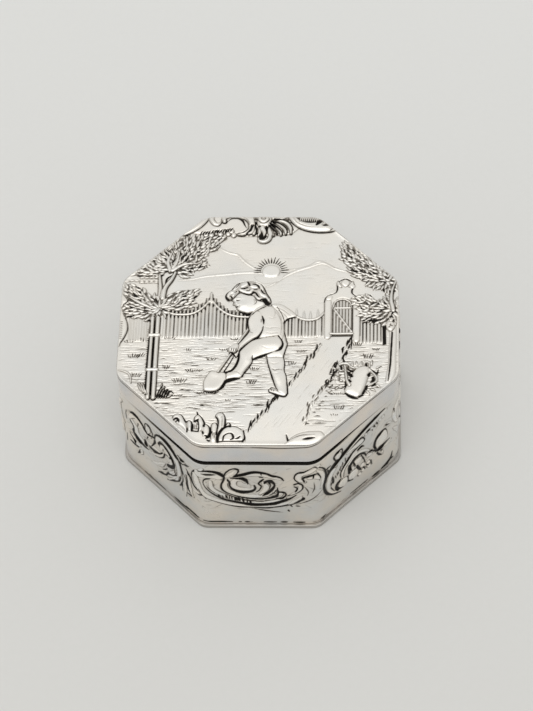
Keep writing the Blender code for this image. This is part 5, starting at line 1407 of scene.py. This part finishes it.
def round_the_wall(along, inset):
    """Points and outward directions at these lengths round the octagon, from the front side's left end."""
    side = np.floor(along / SIDE)
    s = along - side * SIDE - SIDE / 2
    angle = -math.pi / 2 + math.pi / 4 * side
    flat = SIDE / 2 - ARC
    turn = np.clip((np.abs(s) - flat) / ARC, 0, 1) * math.pi / 8 * np.sign(s)
    straight = np.clip(s, -flat, flat)
    nx, ny = np.cos(angle), np.sin(angle)
    cx = nx * (APOTHEM - CORNER) - ny * straight
    cy = ny * (APOTHEM - CORNER) + nx * straight
    ox, oy = np.cos(angle + turn), np.sin(angle + turn)
    return cx + ox * (CORNER - inset), cy + oy * (CORNER - inset), ox, oy


def top_of_wall(x, y):
    """The wall's top edge, lowest in front, bevelled behind the hinge's axis and hollowed for its barrel."""
    behind = np.maximum(y - HINGE_Y, 0)
    back = np.clip((y - SEAM_START) / SEAM_LENGTH, 0, 1)
    head = WALL_HEAD - SEAM_GAP + SEAM_RISE * back * back * (3 - 2 * back)
    head = head - BACK_DROP * np.clip((y - BACK_START) / BACK_LENGTH, 0, 1)
    top = np.minimum(head, HINGE_Z - behind * BEVEL)
    hollow = HINGE_Z - np.sqrt(np.maximum(HINGE_ROOM**2 - (y - HINGE_Y) ** 2, 0))
    return np.where((np.abs(x) < HINGE_HALF) & (y > HINGE_Y - HINGE_ROOM), np.minimum(top, hollow), top)


def make_wall(s, columns, rows, material):
    """The case's wall: relief outside, softer reverse relief inside, closed over its top and foot."""
    places, tones, faces = [], [], []
    ends = {}
    total = 0
    tall = WALL_HEAD - WALL_FOOT
    for name, n, m in (("outer", columns, rows), ("inner", columns // 2, rows // 4)):
        along = np.arange(n) * 8 * SIDE / n
        level = np.linspace(0, 1, m + 1)
        a, t = np.meshgrid(along, level)
        z = WALL_FOOT + t * tall
        drawn = SCROLLS_STRETCH * z + SCROLLS_SHIFT
        h, dark = s.sample(s.height, a, drawn), s.sample(s.dark, a, drawn)
        end = np.clip(1 - (WALL_HEAD - z) / HEAD_REACH, 0, 1)
        h = h * (1 - end) - HEAD_TUCK * end**3
        if name == "inner":
            fade = np.clip(z - WALL_FOOT, 0, 1) * np.clip((INSIDE_TOP - z) / INSIDE_FADE, 0, 1)
            h = -SHEET + fade * 0.5 * h
            dark = 0.3 * dark * fade
        x, y, ox, oy = round_the_wall(a, 0)
        x, y = x + ox * h, y + oy * h
        top = top_of_wall(x[-1:], y[-1:])
        z = z - np.clip((z - HEAD_START) / (WALL_HEAD - HEAD_START), 0, 1) * (WALL_HEAD - top)
        places.append(np.stack((x, y, z), -1).reshape(-1, 3))
        # Painted shade in the open seam: the wall's top is painted dark, weaker towards the back and at the
        # right
        shut = np.clip((y[-1] + 19) / 10, 0, 1)
        seam_shade = np.clip((t * tall - tall + 0.4) / 0.08, 0, 1)
        dark = np.maximum(dark, seam_shade * (1 - shut) * (1 - 0.8 * np.clip((x[-1] - 11) / 5, 0, 1)))
        dark[-1] = np.maximum(dark[-1], 1 - 0.7 * shut)
        tones.append(dark.ravel())
        at = total + np.arange(n)
        ends[name] = (at, at + n * m)
        for k in range(m):
            faces.append(ring_quads(at + n * k, at + n * (k + 1), name == "inner"))
        total += n * (m + 1)
    fans = []
    for which in (0, 1):
        fine, coarse = ends["outer"][which], ends["inner"][which]
        fan = fan_faces(coarse, fine)
        fans.append(fan if which == 0 else fan[:, ::-1])
    places, tones = np.concatenate(places), np.concatenate(tones)

    def uv(corners):
        """The bake's layout: the outside in four long rows, the inside in four short ones, and the ends."""
        out = np.empty((len(corners), 2))
        done = 0
        for n, m, low, tall in ((columns, rows, 0.0, 0.2), (columns // 2, rows // 4, 0.8, 0.045)):
            column = np.tile(np.arange(n), m)
            quarter = n // 4
            part = column // quarter
            u = (column - part * quarter)[:, None] + (0, 1, 1, 0)
            v = np.repeat(np.arange(m), n)[:, None] + (0, 0, 1, 1)
            if low:
                u, v = u[:, ::-1], v[:, ::-1]
            size = 4 * n * m
            u = MARGIN + SPAN * u / quarter
            v = low + part[:, None] * tall + 0.003 + (tall - 0.006) * v / m
            out[done : done + size] = np.stack((u.ravel(), v.ravel()), 1)
            done += size
        count = (len(corners) - done) // 5
        row = count // 8
        at = np.repeat(np.arange(count), 5)
        spot = np.tile(((0, 0), (1, 0), (1, 1), (0.5, 1), (0, 1)), (count, 1)).astype(float)
        spot[:, 0] = MARGIN + SPAN * (at % row + spot[:, 0]) / (row + 1)
        spot[:, 1] = 0.982 + 0.002 * (at // row) + 0.0015 * spot[:, 1]
        out[done:] = spot
        return out

    return make_mesh("chased_case_wall", places, np.concatenate(faces), np.concatenate(fans), tones, uv,
        material)


# Materials


def group(name, inputs, outputs):
    """An empty shader group with these named sockets."""
    made = bpy.data.node_groups.new(name, "ShaderNodeTree")
    for label, kind, value in inputs:
        socket = made.interface.new_socket(label, in_out="INPUT", socket_type=kind)
        socket.default_value = value
    for label, kind in outputs:
        made.interface.new_socket(label, in_out="OUTPUT", socket_type=kind)
    return made, made.nodes.new("NodeGroupInput"), made.nodes.new("NodeGroupOutput")


def math_node(tree, kind, a, b=None, c=None):
    """One step of arithmetic on values or sockets."""
    node = tree.nodes.new("ShaderNodeMath")
    node.operation = kind
    for socket, value in zip(node.inputs, (a, b, c)):
        if value is None:
            continue
        if isinstance(value, (int, float)):
            socket.default_value = value
        else:
            tree.links.new(value, socket)
    return node.outputs[0]


def clamped(tree, value):
    """The value kept between 0 and 1."""
    return math_node(tree, "MINIMUM", math_node(tree, "MAXIMUM", value, 0.0), 1.0)


def mix_colour(tree, share, a, b):
    """Colour a going over to colour b by this share."""
    node = tree.nodes.new("ShaderNodeMix")
    node.data_type = "RGBA"
    for socket, value in ((node.inputs["Factor"], share), (node.inputs[6], a), (node.inputs[7], b)):
        if isinstance(value, (tuple, float)):
            socket.default_value = value
        else:
            tree.links.new(value, socket)
    return node.outputs[2]


def noise(tree, vector, scale, detail=3.0, rough=0.5):
    """A cloudy pattern from 0 to 1."""
    node = tree.nodes.new("ShaderNodeTexNoise")
    node.inputs["Scale"].default_value = scale
    node.inputs["Detail"].default_value = detail
    node.inputs["Roughness"].default_value = rough
    tree.links.new(vector, node.inputs["Vector"])
    return node.outputs["Fac"]


def stretched(tree, vector, turn, scale):
    """Places turned and stretched, so that a noise becomes streaks."""
    node = tree.nodes.new("ShaderNodeMapping")
    node.inputs["Rotation"].default_value = turn
    node.inputs["Scale"].default_value = scale
    tree.links.new(vector, node.inputs["Vector"])
    return node.outputs[0]


def make_tarnish_and_shade_group():
    """Silver that darkens by way of brown into its recesses and its painted shade, with a faint cloud of
    tarnish.
    """
    tree, start, end = group(
        "tarnished_and_shaded_silver",
        (
            ("Patina_and_shade", "NodeSocketFloat", 0.0), ("Silver", "NodeSocketColor", (0.93, 0.915, 0.89, 1)),
            ("Tarnish", "NodeSocketColor", (0.30, 0.26, 0.21, 1)),
            ("Oxide", "NodeSocketColor", (0.018, 0.016, 0.014, 1)),
            ("Polish", "NodeSocketFloat", 0.2), ("Mottle", "NodeSocketFloat", 0.3),
        ),
        (("Color", "NodeSocketColor"), ("Roughness", "NodeSocketFloat")),
    )
    place = tree.nodes.new("ShaderNodeTexCoord").outputs["Object"]
    cloud = noise(tree, place, 90.0, 4.0, 0.6)
    grain = noise(tree, place, 2600.0, 2.0, 0.6)
    ragged = math_node(tree, "MULTIPLY_ADD", math_node(tree, "SUBTRACT", grain, 0.5), 0.5, 1.0)
    patina_and_shade = math_node(tree, "MULTIPLY", start.outputs["Patina_and_shade"], ragged)
    first = math_node(tree, "MULTIPLY", patina_and_shade, 1.6)
    first = math_node(tree, "MINIMUM", first, 1.0)
    deep = clamped(tree, math_node(tree, "MULTIPLY_ADD", patina_and_shade, 2.2, -0.7))
    film = math_node(tree, "MULTIPLY", math_node(tree, "MAXIMUM", math_node(tree, "SUBTRACT", cloud, 0.45),
        0.0), 0.5)
    hue = clamped(tree, math_node(tree, "MULTIPLY_ADD", noise(tree, place, 170.0, 3.0, 0.55), 3.0, -1.0))
    tint = mix_colour(tree, hue, (1.0, 0.93, 0.83, 1), (0.80, 0.86, 0.92, 1))
    stained = tree.nodes.new("ShaderNodeMix")
    stained.data_type = "RGBA"
    stained.blend_type = "MULTIPLY"
    tree.links.new(start.outputs["Mottle"], stained.inputs["Factor"])
    tree.links.new(start.outputs["Silver"], stained.inputs[6])
    tree.links.new(tint, stained.inputs[7])
    base = mix_colour(tree, film, stained.outputs[2], start.outputs["Tarnish"])
    base = mix_colour(tree, first, base, start.outputs["Tarnish"])
    base = mix_colour(tree, deep, base, start.outputs["Oxide"])
    tree.links.new(base, end.inputs["Color"])
    rough = math_node(tree, "MULTIPLY_ADD", cloud, 0.12, start.outputs["Polish"])
    rough = math_node(tree, "MULTIPLY_ADD", patina_and_shade, 0.25, rough)
    tree.links.new(rough, end.inputs["Roughness"])
    return tree


def make_wear_group():
    """Fine scratches, soft dents and the grain of worked metal, as a height."""
    tree, start, end = group(
        "worked_metal",
        (("Grain", "NodeSocketFloat", 0.3), ("Scratches", "NodeSocketFloat", 0.3),
         ("Dents", "NodeSocketFloat", 0.3)),
        (("Height", "NodeSocketFloat"),),
    )
    place = tree.nodes.new("ShaderNodeTexCoord").outputs["Object"]
    grain = math_node(tree, "MULTIPLY", noise(tree, place, 2200.0, 3.0, 0.6), start.outputs["Grain"])
    dents = math_node(tree, "MULTIPLY", noise(tree, place, 130.0, 1.5, 0.4), start.outputs["Dents"])
    total = math_node(tree, "ADD", grain, dents)
    for turn, scale in (
        ((0.3, 0.2, 0.5), (5200.0, 180.0, 900.0)), ((0.9, 0.1, 2.1), (4200.0, 150.0, 700.0)),
    ):
        lines = noise(tree, stretched(tree, place, turn, scale), 1.0, 2.0, 0.5)
        lines = math_node(tree, "MAXIMUM", math_node(tree, "SUBTRACT", lines, 0.62), 0.0)
        total = math_node(tree, "MULTIPLY_ADD", lines, start.outputs["Scratches"], total)
    tree.links.new(total, end.inputs["Height"])
    return tree


def placed(tree, shared, **values):
    """One of the shared effects, placed in a material with these values."""
    node = tree.nodes.new("ShaderNodeGroup")
    node.node_tree = shared
    for label, value in values.items():
        node.inputs[label].default_value = value
    return node


def raised_by(tree, height, strength, depth):
    """The surface's normal where this height is worked into it, its full depth in millimetres."""
    bump = tree.nodes.new("ShaderNodeBump")
    bump.inputs["Strength"].default_value = strength
    bump.inputs["Distance"].default_value = depth * MM
    tree.links.new(height, bump.inputs["Height"])
    return bump.outputs["Normal"]


def make_silver(name, grain, scratches, dents, polish, silver, chased=False, depth=0.02, mottle=0.2,
        joint=None):
    """A silver. Chased metal reads its recesses and painted shade from the mesh. joint is a solder and
    painted-shadow line's height.
    """
    made = bpy.data.materials.new(name)
    made.use_nodes = True
    tree = made.node_tree
    shader = tree.nodes["Principled BSDF"]
    shader.inputs["Metallic"].default_value = 1.0
    skin = placed(tree, tarnish_and_shade_group, Silver=(*silver, 1), Polish=polish, Mottle=mottle)
    if joint:
        # A dark line round the band: partly the soldered joint, partly painted shadow under the plate's edge
        place = tree.nodes.new("ShaderNodeTexCoord").outputs["Object"]
        axes = tree.nodes.new("ShaderNodeSeparateXYZ")
        tree.links.new(place, axes.inputs["Vector"])
        wander = noise(tree, place, 70.0, 2.0, 0.5)
        line = math_node(tree, "MULTIPLY_ADD", wander, -1.6 * MM, (joint + 0.6) * MM)
        off = math_node(tree, "ABSOLUTE", math_node(tree, "SUBTRACT", axes.outputs["Z"], line))
        near = math_node(tree, "MAXIMUM", math_node(tree, "MULTIPLY_ADD", off, -1 / (0.26 * MM), 1.0), 0.0)
        worn = math_node(tree, "MULTIPLY_ADD", noise(tree, place, 240.0, 2.0, 0.6), 2.6, -0.45)
        worn = math_node(tree, "MINIMUM", math_node(tree, "MAXIMUM", worn, 0.0), 0.8)
        tree.links.new(math_node(tree, "MULTIPLY", near, worn), skin.inputs["Patina_and_shade"])
    elif chased:
        patina_and_shade = tree.nodes.new("ShaderNodeAttribute")
        patina_and_shade.attribute_name = "patina_and_shade"
        tree.links.new(patina_and_shade.outputs["Fac"], skin.inputs["Patina_and_shade"])
    worked = placed(tree, wear_group, Grain=grain, Scratches=scratches, Dents=dents)
    tree.links.new(skin.outputs["Color"], shader.inputs["Base Color"])
    tree.links.new(skin.outputs["Roughness"], shader.inputs["Roughness"])
    tree.links.new(raised_by(tree, worked.outputs["Height"], 1.0, depth), shader.inputs["Normal"])
    return made


def make_floor_material():
    """Pale card with a faint speck, and painted light that makes it a little lighter towards the back."""
    made = bpy.data.materials.new("pale_card")
    made.use_nodes = True
    tree = made.node_tree
    shader = tree.nodes["Principled BSDF"]
    place = tree.nodes.new("ShaderNodeTexCoord").outputs["Object"]
    speck = noise(tree, place, 900.0, 3.0, 0.6)
    cloud = noise(tree, place, 9.0, 2.0, 0.5)
    share = math_node(tree, "MULTIPLY_ADD", speck, 0.3, math_node(tree, "MULTIPLY", cloud, 0.4))
    # Painted light: the colour grows lighter towards the back
    axes = tree.nodes.new("ShaderNodeSeparateXYZ")
    tree.links.new(place, axes.inputs["Vector"])
    share = clamped(tree, math_node(tree, "MULTIPLY_ADD", axes.outputs["Y"], 7.0, share))
    colour = mix_colour(tree, share, (0.75, 0.745, 0.72, 1), (0.815, 0.815, 0.795, 1))
    tree.links.new(colour, shader.inputs["Base Color"])
    shader.inputs["Roughness"].default_value = 0.75
    tree.links.new(raised_by(tree, speck, 0.3, 0.05), shader.inputs["Normal"])
    return made


# The studio


def add_floor(material):
    """The plain floor, 3 m square."""
    mesh = bpy.data.meshes.new("floor")
    half = 1.5
    mesh.from_pydata([(-half, -half, 0), (half, -half, 0), (half, half, 0), (-half, half, 0)], [],
        [(0, 1, 2, 3)])
    mesh.materials.append(material)
    floor = bpy.data.objects.new("floor", mesh)
    bpy.context.scene.collection.objects.link(floor)


def add_soft_light(name, azimuth, elevation, distance, size, power):
    """A square lamp that faces the box. Azimuth 0 is the front, 90 the right."""
    lamp = bpy.data.lights.new(name, "AREA")
    lamp.shape = "SQUARE"
    lamp.size = size
    lamp.energy = power
    a, e = math.radians(azimuth), math.radians(elevation)
    back = Vector((math.sin(a) * math.cos(e), -math.cos(a) * math.cos(e), math.sin(e)))
    made = bpy.data.objects.new(name, lamp)
    made.location = back * distance
    made.rotation_mode = "QUATERNION"
    made.rotation_quaternion = back.to_track_quat("Z", "Y")
    bpy.context.scene.collection.objects.link(made)


def add_world():
    """The same pale grey from all round."""
    world = bpy.data.worlds.new("studio")
    world.use_nodes = True
    tree = world.node_tree
    shade = tree.nodes["Background"]
    shade.inputs["Color"].default_value = (0.655, 0.655, 0.645, 1)
    shade.inputs["Strength"].default_value = 1.0
    bpy.context.scene.world = world


def add_camera():
    """The camera, from the front and above, at the photograph's angle. Angles are in radians."""
    azimuth, elevation, roll = 0.0771519, 0.9573499, -0.0608493
    target, distance = Vector((0.074, 11.525, 0.0)) * MM, 456.8 * MM
    flat = math.cos(elevation)
    back = Vector((math.sin(azimuth) * flat, -math.cos(azimuth) * flat, math.sin(elevation)))
    level = Vector((math.cos(azimuth), math.sin(azimuth), 0))
    up = back.cross(level)
    right = math.cos(roll) * level + math.sin(roll) * up
    up = back.cross(right)
    data = bpy.data.cameras.new("camera")
    data.lens = 135.67
    data.sensor_width = 36.0
    data.clip_start, data.clip_end = 0.01, 20.0
    camera = bpy.data.objects.new("camera", data)
    turned = Matrix((right, up, back)).transposed().to_4x4()
    camera.matrix_world = Matrix.Translation(target + back * distance) @ turned
    bpy.context.scene.collection.objects.link(camera)
    bpy.context.scene.camera = camera


# The two sheets, drawn from the back of the picture to its front, with a little tarnish and painted shade
# round each dark line
lid_sheet = Relief(left=-23, right=23, low=-24, high=23, pitch=0.07)
for draw in (
    draw_sky, draw_meadow, draw_fence, draw_gate, draw_trees, draw_rim_leaves, draw_child, draw_arm,
    draw_head, draw_can, draw_top_border, draw_front_leaves,
):
    draw(lid_sheet)
lid_sheet.dark = np.clip(lid_sheet.dark + 0.16 * soften(lid_sheet.dark, 3.0), 0, 1)
lid_sheet.height = soften(lid_sheet.height, 0.7)
wall_sheet = Relief(left=-6, right=8 * SIDE + 6, low=0.8, high=19.25, pitch=0.08)
draw_wall(wall_sheet)
wall_sheet.dark = np.clip(wall_sheet.dark + 0.25 * soften(wall_sheet.dark, 4.0), 0, 1)
wall_sheet.height = soften(wall_sheet.height, 0.9)

tarnish_and_shade_group, wear_group = make_tarnish_and_shade_group(), make_wear_group()
chased = make_silver("chased_silver_worn", grain=0.3, scratches=0.6, dents=0.7, polish=0.2,
    silver=(0.975, 0.945, 0.888), chased=True)
walled = make_silver("wall_silver_worn", grain=0.3, scratches=0.7, dents=1.6, polish=0.2,
    silver=(0.99, 0.965, 0.93), chased=True, depth=0.03, mottle=0.6)
polished = make_silver("polished_silver_worn", grain=0.1, scratches=0.8, dents=2.0, polish=0.15,
    silver=(0.83, 0.80, 0.78), depth=0.03, mottle=0.65)
band_metal = make_silver("band_silver_worn", grain=0.1, scratches=0.9, dents=2.0, polish=0.15,
    silver=(0.83, 0.80, 0.78), depth=0.03, mottle=0.65, joint=23.75)
foot_metal = make_silver("foot_silver_worn", grain=0.4, scratches=0.7, dents=1.2, polish=0.3,
    silver=(0.50, 0.48, 0.45), depth=0.03)
hinge_metal = make_silver("hinge_silver_worn", grain=0.2, scratches=0.5, dents=0.6, polish=0.22,
    silver=(0.88, 0.86, 0.83))

lid_plate = make_lid(lid_sheet, count=480, material=chased)
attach(lid_plate, "lid")
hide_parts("lid_plate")
case_wall = make_wall(wall_sheet, columns=1440, rows=168, material=walled)
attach(case_wall, "case")
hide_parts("case_wall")
for node in ("lid_band", "base_plate", "bezel"):
    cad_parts[node].data.materials.clear()
    metal = {"base_plate": foot_metal, "lid_band": band_metal}.get(node, polished)
    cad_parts[node].data.materials.append(metal)
for node in (
    "case_gutter", "lid_gutter", "case_knuckle_left", "case_knuckle_middle", "case_knuckle_right",
    "lid_knuckle_left", "lid_knuckle_right", "hinge_pin",
):
    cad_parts[node].data.materials.clear()
    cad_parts[node].data.materials.append(hinge_metal)

add_floor(make_floor_material())
add_soft_light("ceiling", azimuth=335, elevation=77, distance=0.95, size=1.1, power=2.55)
add_soft_light("back_wall", azimuth=182, elevation=50, distance=1.2, size=1.0, power=0.33)
add_soft_light("high_back", azimuth=180, elevation=76, distance=1.0, size=0.5, power=0.22)
add_world()
add_camera()
bpy.context.scene.view_settings.view_transform = "Standard"
